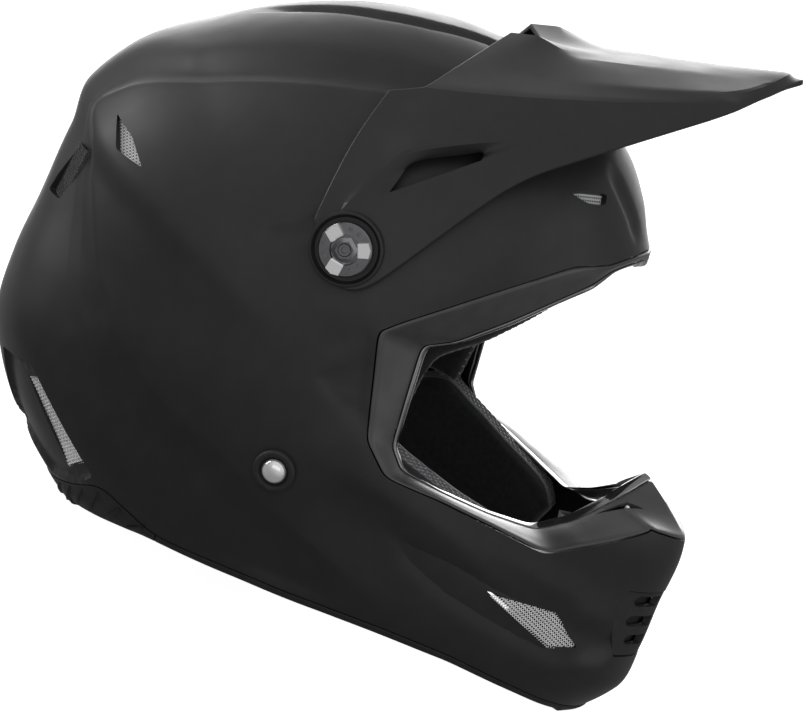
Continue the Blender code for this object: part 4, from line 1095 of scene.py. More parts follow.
# ---- peak ---------------------------------------------------------------------------------------------
CAGE = {
    "rear_middle": (16, 0, 279), "mid_rear": (30, 0, 282.5), "mid_front": (52, 0, 291),
    "tip_top": (124, 0, 316.5), "tip_low": (130, 0, 314.6), "front_low": (121.5, 24, 305.5),
    "top_0": (0, 29, 282), "top_1": (13, 31, 286.2), "top_2": (33.5, 34, 284.6), "top_3": (118, 20, 309.5),
    "ridge_0": (-12, 64, 262.5), "ridge_1": (5, 62, 268), "ridge_2": (45, 58, 279),
    "ridge_3": (109, 48, 301),
    "side_0": (-19, 82, 251), "side_1": (14.5, 84, 261.6), "side_2": (63, 68, 279), "side_3": (109, 49, 298),
    "rear_2": (-33, 85, 243.5), "rear_1": (-37, 106, 219), "rear_0": (-36, 122, 182),
    "arm_0": (-22, 124, 161.5), "arm_1": (-10, 124, 158.5), "arm_2": (-1, 123, 164), "arm_3": (8, 119, 179.5),
    "arm_4": (23, 108, 206.5), "arm_5": (36, 99, 228.6), "arm_6": (46.5, 91, 239.4),
    "low_1": (76.5, 74, 265.6), "low_0": (111, 50, 294),
    "scoop_0": (-27, 121, 191), "scoop_1": (-13, 107, 225), "scoop_2": (15, 97, 241),
    "scoop_3": (43.5, 86, 255.6),
    "hole_0": (-10.5, 113.5, 206.5), "hole_1": (-8, 103, 221), "hole_2": (18.5, 93, 236.5),
    "hole_3": (19.5, 99, 234), "boss": (-10, 121.5, 183),
}
CAGE_FACES = [
    ("rear_middle", "mid_rear", "top_1", "top_0"), ("mid_rear", "mid_front", "top_2", "top_1"),
    ("mid_front", "tip_top", "top_3", "top_2"), ("tip_top", "tip_low", "front_low", "top_3"),
    ("top_3", "front_low", "low_0", "ridge_3"), ("ridge_3", "low_0", "side_3"),
    ("top_0", "top_1", "ridge_1", "ridge_0"), ("top_1", "top_2", "ridge_2", "ridge_1"),
    ("top_2", "top_3", "ridge_3", "ridge_2"), ("ridge_0", "ridge_1", "side_1", "side_0"),
    ("ridge_1", "ridge_2", "side_2", "side_1"), ("ridge_2", "ridge_3", "side_3", "side_2"),
    ("rear_2", "side_0", "scoop_1", "rear_1"), ("rear_1", "scoop_1", "scoop_0", "rear_0"),
    ("side_0", "side_1", "scoop_2", "scoop_1"), ("side_1", "side_2", "scoop_3", "scoop_2"),
    ("side_2", "side_3", "low_0", "low_1"), ("scoop_3", "side_2", "low_1", "arm_6"),
    ("scoop_0", "scoop_1", "hole_1", "hole_0"), ("scoop_1", "scoop_2", "hole_2", "hole_1"),
    ("scoop_2", "scoop_3", "hole_3", "hole_2"), ("hole_3", "scoop_3", "arm_6", "arm_5"),
    ("hole_0", "hole_3", "arm_5", "arm_4"), ("boss", "hole_0", "arm_4", "arm_3"),
    ("scoop_0", "hole_0", "boss"), ("rear_0", "scoop_0", "boss", "arm_0"),
    ("boss", "arm_3", "arm_2"), ("boss", "arm_2", "arm_1", "arm_0"),
]
# runs of cage edges that stay sharp, and how sharp
FOLDS = [
    (("rear_middle", "top_0", "ridge_0", "side_0", "rear_2"), 1.0), (("rear_2", "rear_1", "rear_0"), 0.95),
    (("top_0", "top_1", "top_2", "top_3"), 1.0), (("ridge_0", "ridge_1", "ridge_2", "ridge_3"), 0.95),
    (("side_0", "side_1", "side_2", "side_3"), 0.7), (("tip_top", "top_3", "ridge_3"), 0.9),
    (("tip_low", "front_low", "low_0"), 0.9), (("mid_rear", "top_1"), 0.6), (("mid_front", "top_2"), 0.6),
    (("scoop_0", "scoop_1", "scoop_2", "scoop_3"), 0.95), (("scoop_0", "hole_0"), 0.9),
    (("hole_0", "hole_3", "scoop_3"), 0.9), (("hole_1", "hole_2", "hole_3"), 0.95),
    (("hole_0", "hole_1"), 0.95), (("scoop_3", "arm_6"), 0.3), (("low_0", "side_3"), 0.6),
]
# how sharp single corners of the cage stay
CORNERS = [("rear_2", 0.9), ("rear_0", 0.7), ("top_0", 0.9), ("side_0", 0.7), ("tip_low", 0.5),
           ("low_0", 0.6), ("front_low", 0.5), ("hole_0", 1.0), ("hole_1", 1.0), ("hole_2", 1.0),
           ("hole_3", 1.0), ("scoop_0", 0.9), ("scoop_1", 0.7), ("scoop_3", 0.9)]


def polar(angle, radius, y):
    """Point around the peak's tilt axis."""
    turn = math.radians(angle)
    return np.array([VISOR_AXIS[0] + radius * math.cos(turn), y, VISOR_AXIS[1] + radius * math.sin(turn)])


def foot_plate(reach_back, reach_front, half, inner, outer, steps=10):
    """Arc plate about the tilt axis, from reach_front degrees ahead of the screw to reach_back behind."""
    sections = []
    for k in range(steps + 1):
        angle = FOOT_ANGLE + reach_back - (reach_back + reach_front) * k / steps
        sections.append([polar(angle, inner, -half), polar(angle, inner, half),
                         polar(angle, outer, half), polar(angle, outer, -half)])
    return loft(sections)


def cage_mesh():
    """The peak's outer skin as a creased cage, both sides."""
    names = list(CAGE)
    verts = [np.array(CAGE[n], float) for n in names]
    faces = [tuple(names.index(n) for n in face) for face in CAGE_FACES]
    size = len(names)
    made = new_mesh("peak_cage", verts + [v * (1, -1, 1) for v in verts],
                    faces + [tuple(size + i for i in f)[::-1] for f in faces])
    work = bmesh.new()
    work.from_mesh(made)
    work.verts.ensure_lookup_table()
    edge_layer = work.edges.layers.float.new("crease_edge")
    corner_layer = work.verts.layers.float.new("crease_vert")
    for run, amount in FOLDS:
        for a, b in zip(run, run[1:]):
            for shift in (0, size):
                pair = [work.verts[names.index(n) + shift] for n in (a, b)]
                found = work.edges.get(pair)
                if found is not None:
                    found[edge_layer] = amount
    for name, amount in CORNERS:
        for shift in (0, size):
            work.verts[names.index(name) + shift][corner_layer] = amount
    bmesh.ops.remove_doubles(work, verts=work.verts, dist=WELD)
    bmesh.ops.recalc_face_normals(work, faces=work.faces)
    highest = max(work.faces, key=lambda f: f.calc_center_median().z)
    if highest.normal.z < 0:
        bmesh.ops.reverse_faces(work, faces=work.faces)
    work.to_mesh(made)
    work.free()
    return made


PEAK_BEVEL = 0.7


def make_peak():
    """Peak: smoothed and thickened cage with screw seats, a slotted middle foot and its ribs."""
    skin = add_object("peak_skin", cage_mesh())
    smooth = skin.modifiers.new("smooth", "SUBSURF")
    smooth.levels = smooth.render_levels = 3
    smooth.boundary_smooth = "ALL"
    wall = skin.modifiers.new("wall", "SOLIDIFY")
    wall.thickness, wall.offset = VISOR_WALL * MM, -1
    soften = skin.modifiers.new("soften", "BEVEL")
    soften.limit_method, soften.angle_limit = "ANGLE", math.radians(50)
    soften.width, soften.segments, soften.use_clamp_overlap = PEAK_BEVEL * MM, 2, False
    axis = (VISOR_AXIS[0], 0, VISOR_AXIS[1])
    tools, hollows = [], []
    for side in (-1, 1):
        disc = rounded([(0.0, BOSS_INNER), (BOSS_RADIUS, BOSS_INNER), (BOSS_RADIUS, BOSS_OUTER),
                        (0.0, BOSS_OUTER)], 0.8)
        disc = [(max(r, 0.0), h) for r, h in disc if r > 1]
        disc = [(0, BOSS_INNER)] + disc + [(0, BOSS_OUTER)]
        tools.append(loose_object(f"boss_{side}", *turned(disc, axis, (0, side, 0), 64)))
        bore = SCREW_SHANK + GAP
        recess = [(0, 100), (bore, 100), (bore, BOSS_FLOOR), (RECESS_RADIUS - 1.2, BOSS_FLOOR),
                  (RECESS_RADIUS - 0.5, BOSS_OUTER - 1.0), (RECESS_RADIUS + 0.3, BOSS_OUTER + 0.1),
                  (RECESS_RADIUS + 0.3, 140), (0, 140)]
        hollows.append(turned(recess, axis, (0, side, 0), 64))
    tools.append(loose_object("foot", *foot_plate(3.5, VISOR_TRAVEL + 3.5, 10.0, FOOT_RADIUS,
                                                  FOOT_RADIUS + FOOT_WALL)))
    for side in (-1, 1):
        outline = [polar(FOOT_ANGLE + 3.5, FOOT_RADIUS + 0.5, 0),
                   polar(FOOT_ANGLE - VISOR_TRAVEL - 3.5, FOOT_RADIUS + 0.5, 0),
                   np.array([73, 0, 296.6]), np.array([46, 0, 287.0])]
        rib = prism([p + (0, side * 7.2, 0) for p in outline], 2.4, 0, np.array([0, side * 1.0, 0]))
        tools.append(loose_object(f"rib_{side}", *rib))
    for tool in tools:
        boolean(skin, tool, "UNION")
    slot = foot_plate(1.4, VISOR_TRAVEL + 1.4, 2.3, FOOT_RADIUS - 3, FOOT_RADIUS + 6)
    cut = loose_object("hollows", *join(*hollows, slot))
    boolean(skin, cut, "DIFFERENCE")
    mesh = evaluated(skin)
    for tool in tools + [cut]:
        bpy.data.objects.remove(tool)
    show("peak", mesh, "matte_paint", "visor", "matte_shell", "visor_peak", 11)


make_peak()


# ---- chin grille ----------------------------------------------------------------------------------
GRILLE_SPINE = 4.0


def make_grille():
    """Moulded grille in the chin, its bars rounded, set a little behind the shell's edge."""
    columns, rows = 40, 26
    heights = [z for z, _ in GRILLE_ROWS]
    halves = [half - 0.6 for _, half in GRILLE_ROWS]
    zs = np.linspace(heights[0] - 0.5, heights[-1] + 0.5, rows)
    front, back = [], []
    for k in range(-columns // 2, columns // 2 + 1):
        share = 2 * k / columns
        ahead, behind = [], []
        for z in zs:
            half = np.interp(-z, [-h for h in heights], halves)
            reach = front_x(abs(half * share), z)
            crown = 1.0 * math.cos(math.pi / 2 * share)
            ahead.append(np.array([reach - 0.9 + crown * 0.6, half * share, z]))
            behind.append(np.array([reach - 3.6, half * share, z]))
        front.append(ahead)
        back.append(behind)
    slots = []
    for z, height, half in GRILLE_SLOTS:
        corners = [(GRILLE_SPINE, z + height / 2), (half - 3, z + height / 2), (half, z),
                   (half - 3, z - height / 2), (GRILLE_SPINE, z - height / 2)]
        corners = rounded(corners, 1.2)
        for side in (1, -1):
            ring = [np.array([130.0, side * y, h]) for y, h in corners]
            slots.append(prism(ring, 60, 0, np.array([1.0, 0, 0])))
    mesh = carved("grille_body", slab(front, back), slots)
    show("grille", mesh, "rubber", "shell", "trim_plastic", "chin_grille", 32)


make_grille()


# ---- linings --------------------------------------------------------------------------------------
def patch(front, rim, crown, end, rows, rounds=600):
    """Grid of the disc between its front and rim curves, relaxed so that grid lines never fold."""
    u = np.linspace(0, 1, len(front))[:, None, None]
    v = np.linspace(0, 1, rows + 1)[None, :, None]
    front, rim = np.array(front)[:, None], np.array(rim)[:, None]
    crown, end = np.array(crown)[None], np.array(end)[None]
    corners = (1 - v) * ((1 - u) * crown[:, :1] + u * end[:, :1])
    corners = corners + v * ((1 - u) * crown[:, -1:] + u * end[:, -1:])
    grid = (1 - u) * crown + u * end + (1 - v) * front + v * rim - corners
    for _ in range(rounds):
        du = (grid[2:, 1:-1] - grid[:-2, 1:-1]) / 2
        dv = (grid[1:-1, 2:] - grid[1:-1, :-2]) / 2
        alpha = (dv ** 2).sum(2, keepdims=True)
        beta = (du * dv).sum(2, keepdims=True)
        gamma = (du ** 2).sum(2, keepdims=True)
        cross = grid[2:, 2:] - grid[2:, :-2] - grid[:-2, 2:] + grid[:-2, :-2]
        total = alpha * (grid[2:, 1:-1] + grid[:-2, 1:-1]) + gamma * (grid[1:-1, 2:] + grid[1:-1, :-2])
        grid[1:-1, 1:-1] = (total - beta / 2 * cross) / (2 * (alpha + gamma))
    return grid


def cap_grid(chart_of, front, rim, angles, columns, rows):
    """Left half of a lining: disc coordinates between its front and lower edges, crown to side."""
    top = [rim_point(angles[0])] + [chart_of.chart(x, z) for x, z in front]
    low = [rim_point(angles[1])] + [chart_of.chart(x, z) for x, z in rim]
    top_curve = disc_curve(top, count=columns, ends=(True, False))[0]
    low_curve = disc_curve(low, count=columns, ends=(True, False))[0]
    end = [top[-1] + (low[-1] - top[-1]) * j / rows for j in range(rows + 1)]
    crown = [rim_point(angles[0] + (angles[1] - angles[0]) * j / rows) for j in range(rows + 1)]
    return patch(top_curve, low_curve, crown, end, rows)


def finer(grid, times):
    """Grid of disc points with each cell divided into times by times, along smooth grid lines."""
    grid = np.asarray(grid, float)
    for _ in range(2):
        columns = [curve(list(column), np.linspace(0, len(column) - 1, (len(column) - 1) * times + 1))
                   for column in grid]
        grid = np.swapaxes(np.array(columns), 0, 1)
    return grid


def lining(outer_dome, inner_dome, grid, swell):
    """Closed lining between two domes, thinner at its edges, as grids of points on both sides."""
    outer = outer_dome.point(grid)
    inner = inner_dome.point(grid)
    columns, rows = grid.shape[:2]
    u = np.linspace(0, 1, columns)[:, None]
    v = np.linspace(0, 1, rows)[None, :]
    rise = np.minimum(1.0, np.minimum((1 - u) * columns, np.minimum(v, 1 - v) * rows) / 6.0)
    edge = np.sqrt(np.clip(1 - (1 - rise) ** 2, 0, 1))
    middle = 0.5 * (outer + inner)
    half = 0.5 * (outer - inner)
    share = (1 - swell) + swell * edge
    return middle + share[..., None] * half, middle - share[..., None] * half


def make_impact_liner():
    front = [(85, 212), (66, 202.5), (39, 182), (13, 161), (2, 150)]
    rim = [(-112, 26), (-80, 42), (-44, 74), (-4, 92)]
    grid = finer(cap_grid(CORE, front, rim, (BROW_ANGLE + 3, REAR_RIM_ANGLE - 6), 13, 11), 4)
    piece("impact_foam", *slab(both_sides(CORE.point(grid)), both_sides(FOAM.point(grid))), "grey_foam",
          "shell", "foam_grey", "impact_liner")


def net_over(width, height, place, facing, cell, yarn, lift):
    """Honeycomb yarn over a band: place and facing map (u, v) in millimetres to the surface."""
    rise = cell * math.sqrt(3) / 2
    shapes = []
    corner = cell / math.sqrt(3)
    seen = set()
    columns, rows = int(width / cell) + 2, int(height / rise) + 2
    for j in range(-1, rows):
        for i in range(-1, columns):
            centre = np.array([(i + (0.5 if j % 2 else 0.0)) * cell, j * rise])
            ring = [centre + corner * np.array([math.sin(a), math.cos(a)])
                    for a in (math.pi / 3 * k for k in range(6))]
            for a, b in zip(ring, ring[1:] + ring[:1]):
                key = tuple(sorted((tuple(np.round(a, 2)), tuple(np.round(b, 2)))))
                if key in seen:
                    continue
                seen.add(key)
                if not all(0 <= p[0] <= width and 0 <= p[1] <= height for p in (a, b)):
                    continue
                p, q = place(a), place(b)
                n = facing(0.5 * (a + b))
                along = (q - p) / max(np.linalg.norm(q - p), 1e-6)
                side = np.cross(along, n)
                loops = []
                for end in (p - 0.1 * along, q + 0.1 * along):
                    loops.append([end + lift * n + yarn * (c * side + d * n)
                                  for c, d in ((-1, -0.7), (1, -0.7), (0.55, 0.7), (-0.55, 0.7))])
                shapes.append(loft(loops))
    return shapes


def ribbon_map(outer, inner):
    """Width and height in millimetres of the band between two lines, and maps to its points and normals."""
    outer, inner = np.array(outer), np.array(inner)
    middle = 0.5 * (outer + inner)
    length = run_lengths(middle)
    across = float(np.mean(np.linalg.norm(outer - inner, axis=1)))

    def place(spot):
        k = np.interp(spot[0], length, np.arange(len(length)))
        i = min(int(k), len(length) - 2)
        f = k - i
        a = outer[i] + f * (outer[i + 1] - outer[i])
        b = inner[i] + f * (inner[i + 1] - inner[i])
        return a + (b - a) * (0.04 + 0.92 * spot[1] / across)

    def facing(spot):
        here, ahead = place(spot), place(spot + np.array([1.0, 0.0]))
        if np.allclose(here, ahead):
            ahead, here = here, place(spot - np.array([1.0, 0.0]))
        beside = place(np.array([spot[0], min(spot[1] + 1.0, across)])) - place(
            np.array([spot[0], max(spot[1] - 1.0, 0.0)]))
        n = np.cross(ahead - here, beside)
        return n / max(np.linalg.norm(n), 1e-6)
    return length[-1], across, place, facing


NET_LIFT = 0.4
LINER_NET, PAD_NET = (3.8, 0.42), (3.9, 0.45)      # size of the net's cells and of its yarn


def edge_net(bands, behind, cell, yarn, side):
    """Honeycomb yarn over the bands between pairs of lines, on the side away from a point behind them."""
    shapes = []
    for lines in bands:
        width, height, place, facing = ribbon_map(*lines)
        centre = np.array([width * 0.5, height * 0.5])
        sign = 1.0 if np.dot(facing(centre), place(centre) - behind) > 0 else -1.0
        shapes += net_over(width, height, place, lambda p: sign * facing(p), cell, yarn, NET_LIFT)
    return [([p * (1, side, 1) for p in verts], faces) for verts, faces in shapes]


def make_comfort_liner():
    """Head pad with sewn channels, and the net on its edges."""
    front = [(73, 181), (52, 156), (37, 143), (33, 132)]
    rim = [(-84, 46), (-44, 76), (-6, 97), (14, 101), (31, 101)]
    grid = finer(cap_grid(LINER, front, rim, (BROW_ANGLE - 1, REAR_RIM_ANGLE - 3), 13, 11), 5)
    outer, inner = lining(LINER, HEAD, grid, 0.5)
    # sewn channels divide the crown pad
    columns, rows = grid.shape[:2]
    v = np.linspace(0, 1, rows)[None, :]
    u = np.linspace(0, 1, columns)[:, None]
    seam = np.minimum(np.abs(u - 0.36), np.abs(u - 0.7)) * 90
    seam = np.minimum(seam, np.abs(v - 0.5) * 170)
    pull = 1.6 * np.exp(-(seam / 1.8) ** 2)
    outward = (outer - inner) / np.linalg.norm(outer - inner, axis=-1, keepdims=True)
    inner = inner + pull[..., None] * outward
    made = piece("comfort_padding", *slab(both_sides(outer), both_sides(inner)), "plush", "shell",
                 "liner_cloth", "comfort_liner", sharp=0)
    bands = (outer[:, 0], inner[:, 0]), (outer[:, -1], inner[:, -1]), (outer[-1], inner[-1])
    behind = 0.5 * (outer + inner)[columns // 2, rows // 2]
    shapes = [shape for side, _ in SIDES for shape in edge_net(bands, behind, *LINER_NET, side)]
    piece("liner_edge_net", *join(*shapes), "yarn", "shell", "liner_cloth", sharp=60)


make_impact_liner()
make_comfort_liner()


# ---- cheek pads and chin foam -------------------------------------------------------------------------
PAD_TOP = [(-48, 60), (-34, 68), (-14, 81), (8, 92), (25, 99), (42, 94), (66, 86), (90, 79), (99, 70)]
PAD_BOTTOM = [(-50, 28), (-36, 22), (-16, 20), (4, 20), (24, 21), (42, 23), (60, 27), (76, 34), (90, 47)]
PAD_OUTER, PAD_INNER = 14.4, 39.6
PAD_COLUMNS, PAD_ROWS = 56, 36
PIPING = 0.9                                # radius
PAD_CORE = np.array([10.0, 70.0, 50.0])     # a point inside the pad


def pad_grid(columns, rows):
    """Points x, z of the cheek pad's outline grid, front last."""
    top = curve(PAD_TOP, np.linspace(0, len(PAD_TOP) - 1, columns + 1))
    low = curve(PAD_BOTTOM, np.linspace(0, len(PAD_BOTTOM) - 1, columns + 1))
    v = np.linspace(0, 1, rows + 1)[None, :, None]
    return top[:, None] * (1 - v) + low[:, None] * v


def make_cheek_pads():
    """Cheek cushions with rounded edges and a sewn channel, and the net and piping on their edges."""
    columns, rows = PAD_COLUMNS, PAD_ROWS
    flat = pad_grid(columns, rows)
    side_y = SHELL.at(flat[..., 0], flat[..., 1])[..., 1]
    u = np.linspace(0, 1, columns + 1)[:, None]
    v = np.linspace(0, 1, rows + 1)[None, :]
    rim = np.minimum(np.minimum(u, 1 - u) * columns * 2.6, np.minimum(v, 1 - v) * rows * 1.7)
    crown = np.sqrt(np.clip(1 - (1 - np.clip(rim / 9.0, 0, 1)) ** 2, 0, 1))
    # a sewn channel runs along the face side
    seam = np.abs(v - 0.3 - 0.25 * u) * 60
    channel = 1.7 * np.exp(-(seam / 1.9) ** 2) * np.clip(rim / 12, 0, 1)
    face_y = side_y - PAD_INNER + (1 - crown) * 7.0 + channel
    back_y = side_y - PAD_OUTER - (1 - crown) * 1.5
    stack = lambda y: np.stack([flat[..., 0], y, flat[..., 1]], -1)
    back, face = stack(back_y), stack(face_y)
    bands = (back[:, 0], face[:, 0]), (back[-1], face[-1])
    for side, word in SIDES:
        shape = slab([c * (1, side, 1) for c in back], [c * (1, side, 1) for c in face])
        made = piece(f"cheek_cushion_{word}", *shape, "plush", f"pad_{word}", "liner_cloth",
                     f"cheek_pad_{word}", sharp=0)
        shapes = edge_net(bands, PAD_CORE, *PAD_NET, side)
        # piping along the face's outline
        ring = np.concatenate([face[:, 0], face[-1, 1:], face[-2::-1, -1], face[0, -2:0:-1]])
        shapes.append(tube(ring * (1, side, 1), PIPING, 6, True))
        piece(f"cheek_net_{word}", *join(*shapes), "yarn", f"pad_{word}", "liner_cloth", sharp=60)


def tube(path, radius, sides, closed):
    """Closed round tube along a path of points."""
    path = np.asarray(path, float)
    count = len(path)
    sections = []
    last = None
    for i in range(count):
        before = path[i - 1] if (i or closed) else path[0]
        after = path[(i + 1) % count] if (i < count - 1 or closed) else path[-1]
        along = after - before
        along /= max(np.linalg.norm(along), 1e-9)
        guide = last if last is not None else (np.array([0, 0, 1.0]) if abs(along[2]) < 0.9
                                               else np.array([1.0, 0, 0]))
        first = guide - np.dot(guide, along) * along
        first = unit(first)
        last = first
        second = np.cross(along, first)
        sections.append([path[i] + radius * (math.cos(a) * first + math.sin(a) * second)
                         for a in (2 * math.pi * k / sides for k in range(sides))])
    return loft(sections, closed)


SHADE_SHEET_INSET, FOAM_OUTSIDE, FOAM_INSIDE = 5.2, 8.5, 15.0      # under the shell's outer surface


def make_chin_foam():
    """Bead foam behind the chin bar, its top edge rough where it was trimmed, and a dark sheet over its outer
    face that paints the shade behind the grille.
    """
    top = [SHELL.chart(112, 70), SHELL.chart(126, 72), SHELL.chart(143, 80), rim_point(-12)]
    low = [SHELL.chart(112, 23), SHELL.chart(126, 19), SHELL.chart(143, 15), rim_point(-30.5)]
    columns, rows = 60, 22
    upper = disc_curve(top, count=columns, ends=(False, True))[0]
    lower = disc_curve(low, count=columns, ends=(False, True))[0]
    v = np.linspace(0, 1, rows + 1)[None, :, None]
    grid = (upper[:, None] * (1 - v) + lower[:, None] * v)[::-1]
    skin, outer, inner = (SHELL.point(grid, inset) for inset in (SHADE_SHEET_INSET, FOAM_OUTSIDE, FOAM_INSIDE))
    spread = np.random.default_rng(7)
    rough = spread.uniform(-0.35, 0.35, inner.shape[:2])
    rough[0] = 0
    inner[..., 2] += rough
    outer[1:, 0, 2] += spread.uniform(-0.9, 0.3, len(outer) - 1)
    inner[1:, 0, 2] += spread.uniform(-0.9, 0.3, len(inner) - 1)
    piece("chin_bead_foam", *slab(both_sides(outer), both_sides(inner)), "white_foam", "shell",
          "foam_white", "chin_foam")
    # the dark sheet over the white foam's outer face is painted shade: it darkens the foam seen through the
    # grille
    skin[:, 0, 2] -= 1.5
    low_edge = np.where(np.arange(rows + 1)[None, :, None] == 0, outer - (0, 0, 1.5), outer)
    piece("chin_foam_shade_sheet", *slab(both_sides(skin), both_sides(low_edge)), "rubber", "shell", "foam_white")


make_cheek_pads()
make_chin_foam()


# ---- peak fixings -------------------------------------------------------------------------------------
def around(axis_place, facing, polars):
    """Points given as (radius, angle in degrees, height) about an axis."""
    spin = spin_to(facing)
    return [np.array(axis_place, float) + spin @ np.array(
        [r * math.cos(math.radians(a)), r * math.sin(math.radians(a)), h]) for r, a, h in polars]


def dial_block(axis, facing, low_r, high_r, middle, spread_low, spread_high, base, top):
    """Raised facet of a dial between two radii, its top narrower than its foot."""
    def ring(shrink, height):
        near, far = low_r + shrink, high_r - shrink * 0.4
        corners = [(near, middle - spread_low), (far, middle - spread_high),
                   (high_r + 0.5 - shrink * 0.4, middle), (far, middle + spread_high),
                   (near, middle + spread_low)]
        return around(axis, facing, [(r, a, height) for r, a in corners])
    return loft([ring(0.0, base), ring(0.0, top - 0.5), ring(0.55, top)])


def make_side_screws():
    """Knurled dial screws that hold the peak: a ring with paired holes, three facets and a hexagon."""
    axis = (VISOR_AXIS[0], 0, VISOR_AXIS[1])
    seat = BOSS_FLOOR + 0.3
    for side, word in SIDES:
        facing = (0, side, 0)
        turn = 48 + 25 * side
        head = [(0, 102.5), (SCREW_SHANK - 0.4, 102.5), (SCREW_SHANK, 103), (SCREW_SHANK, seat),
                (11.6, seat), (12.2, seat + 0.5), (12.2, seat + 2.6), (11.7, seat + 3.2), (6.9, seat + 3.3),
                (6.6, seat + 2.2), (0, seat + 2.2)]
        cuts = []
        for k in range(3):
            for shift in (-13, 13):
                place = around(axis, facing, [(9.4, turn + 60 + 120 * k + shift, 0.0)])[0]
                cuts.append(turned([(0, seat + 1.6), (1.15, seat + 1.6), (1.15, seat + 5), (0, seat + 5)],
                                   place, facing, 16))
        mesh = carved("dial", turned(head, axis, facing, 72), cuts)
        body = f"screw_{word}"
        show(f"dial_{word}", mesh, "smoked_chrome", body, "dark_chrome", f"visor_screw_{word}", 30)
        # the raised facets take the lighter chrome look, not the dial's own dark chrome: painted highlight on
        # the facets
        blocks = [dial_block(axis, facing, 6.6, 11.7, turn + 120 * k, 27, 17, seat + 2.0, seat + 5.4)
                  for k in range(3)]
        piece(f"dial_facets_{word}", *join(*blocks), "bright_chrome", body, "dark_chrome", sharp=20)
        rings = [around(axis, facing, [(radius, 60 * k + turn, seat + height) for k in range(6)])
                 for radius, height in ((6.3, 2.0), (6.3, 4.0), (4.4, 4.5), (4.4, 2.9))]
        bolt = [(0, seat + 2.0), (3.1, seat + 2.0), (3.1, seat + 3.7), (2.7, seat + 4.1), (1.5, seat + 4.1),
                (1.3, seat + 3.1), (0, seat + 3.1)]
        hexagon = join(loft(rings), turned(bolt, axis, facing, 24))
        piece(f"dial_hexagon_{word}", *hexagon, "smoked_chrome", body, "dark_chrome", sharp=25)
        nut = [(SCREW_SHANK + 0.3, 103), (7.0, 103), (7.0, 105.2), (5.0, 105.2), (5.0, 107.6),
               (SCREW_SHANK + 0.3, 107.6)]
        piece(f"blind_nut_{word}", *turned(rounded(nut, 0.3), axis, facing, 48), "smoked_chrome", "shell",
              "dark_chrome", f"visor_nut_{word}", sharp=30)


def make_centre_screw():
    """Screw through the peak's middle foot, and the post that it turns into."""
    turn = math.radians(FOOT_ANGLE)
    start, facing = (VISOR_AXIS[0], 0, VISOR_AXIS[1]), (math.cos(turn), 0, math.sin(turn))
    top = FOOT_RADIUS + FOOT_WALL + 0.3
    foot = FOOT_RADIUS - POST_DEPTH
    screw = [(0, foot + 0.5), (1.9, foot + 0.5), (1.9, top), (4.6, top), (4.6, top + 1.6), (3.4, top + 2.6),
             (1.6, top + 2.6), (1.6, top + 1.2), (0, top + 1.2)]
    piece("centre_screw", *turned(screw, start, facing, 48), "smoked_chrome", "screw_center", "dark_chrome",
          "visor_center_screw", sharp=30)
    post = [(2.2, foot), (7.5, foot), (7.5, foot + 2), (5.0, foot + 2), (5.0, FOOT_RADIUS - GAP),
            (2.2, FOOT_RADIUS - GAP)]
    piece("centre_post", *turned(rounded(post, 0.3), start, facing, 48), "satin_moulding", "shell",
          "trim_plastic", "visor_center_nut", sharp=30)


make_side_screws()
make_centre_screw()


# ---- chin strap -----------------------------------------------------------------------------------------
STRAP_DROP = [(111.8, 78.5), (110.6, 71), (107, 52), (101, 34), (93.5, 20.5), (85, 12.5), (73, 9.6)]
LONG_END = [(60, 9.0), (44, 8.8), (28, 8.8), (12, 9.0)]
RING_BAR = (50.0, 11.4)
EYE_RADIUS = 4.6
RING_SIZE = (14.6, 22.0, 3.0)
RING_WIRE, RING_SHIFT = 1.2, 1.35


def rivet_frame(side):
    """Surface point and outward direction of a strap rivet."""
    place = SHELL.at(*RIVET)
    facing = SHELL.normal(place)
    facing[0] = 0.0
    facing = unit(facing)
    return place * (1, side, 1), facing * (1, side, 1)


def webbing(line, side):
    """Woven band along a line of (y, z) points at the rivet's x, and its surface coordinates."""
    half, wall = STRAP_WIDTH / 2, STRAP_WALL / 2

    def ribs(start, stop, level):
        return [(x, level * (1.0 if k % 2 else 0.86)) for k, x in enumerate(np.linspace(start, stop, 17))]

    blunt, edge = 0.35 * wall, 0.9 * wall
    profile = [(-half, -blunt), (-half + 0.5, -edge)] + ribs(-half + 1.4, half - 1.4, -wall)
    profile += [(half - 0.5, -edge), (half, -blunt), (half, blunt), (half - 0.5, edge)]
    profile += ribs(half - 1.4, -half + 1.4, wall) + [(-half + 0.5, edge), (-half, blunt)]
    line = np.asarray(line, float)
    length = run_lengths(line)
    sections, uv = [], []
    for i, (y, z) in enumerate(line):
        before, after = line[max(i - 1, 0)], line[min(i + 1, len(line) - 1)]
        along = unit(after - before)
        off = np.array([-along[1], along[0]])
        sections.append([np.array([RIVET[0] + dx, side * (y + d * off[0]), z + d * off[1]])
                         for dx, d in profile])
        uv += [(dx, length[i]) for dx, _ in profile]
    return *loft(sections), uv


def smooth_line(points, steps):
    return list(map(tuple, curve(points, np.arange((len(points) - 1) * steps + 1) / steps)))


def stitches(places, out):
    """Short rounded threads along x at places on the webbing's face, which looks along out."""
    shapes = []
    for place in places:
        middle = place + out * (STRAP_WALL / 2)
        path = [middle + (share * STITCH, 0, 0) + out * rise
                for share, rise in ((-0.5, -0.25), (-0.25, 0.12), (0.25, 0.12), (0.5, -0.25))]
        shapes.append(tube(path, THREAD, 5, False))
    return shapes


STITCH, THREAD = 1.7, 0.28
STITCH_ROWS = (52.0, 44.0)          # heights of the rows under the rivet
END_ROWS = (16.0, 20.0)             # y of the rows at the long strap's end


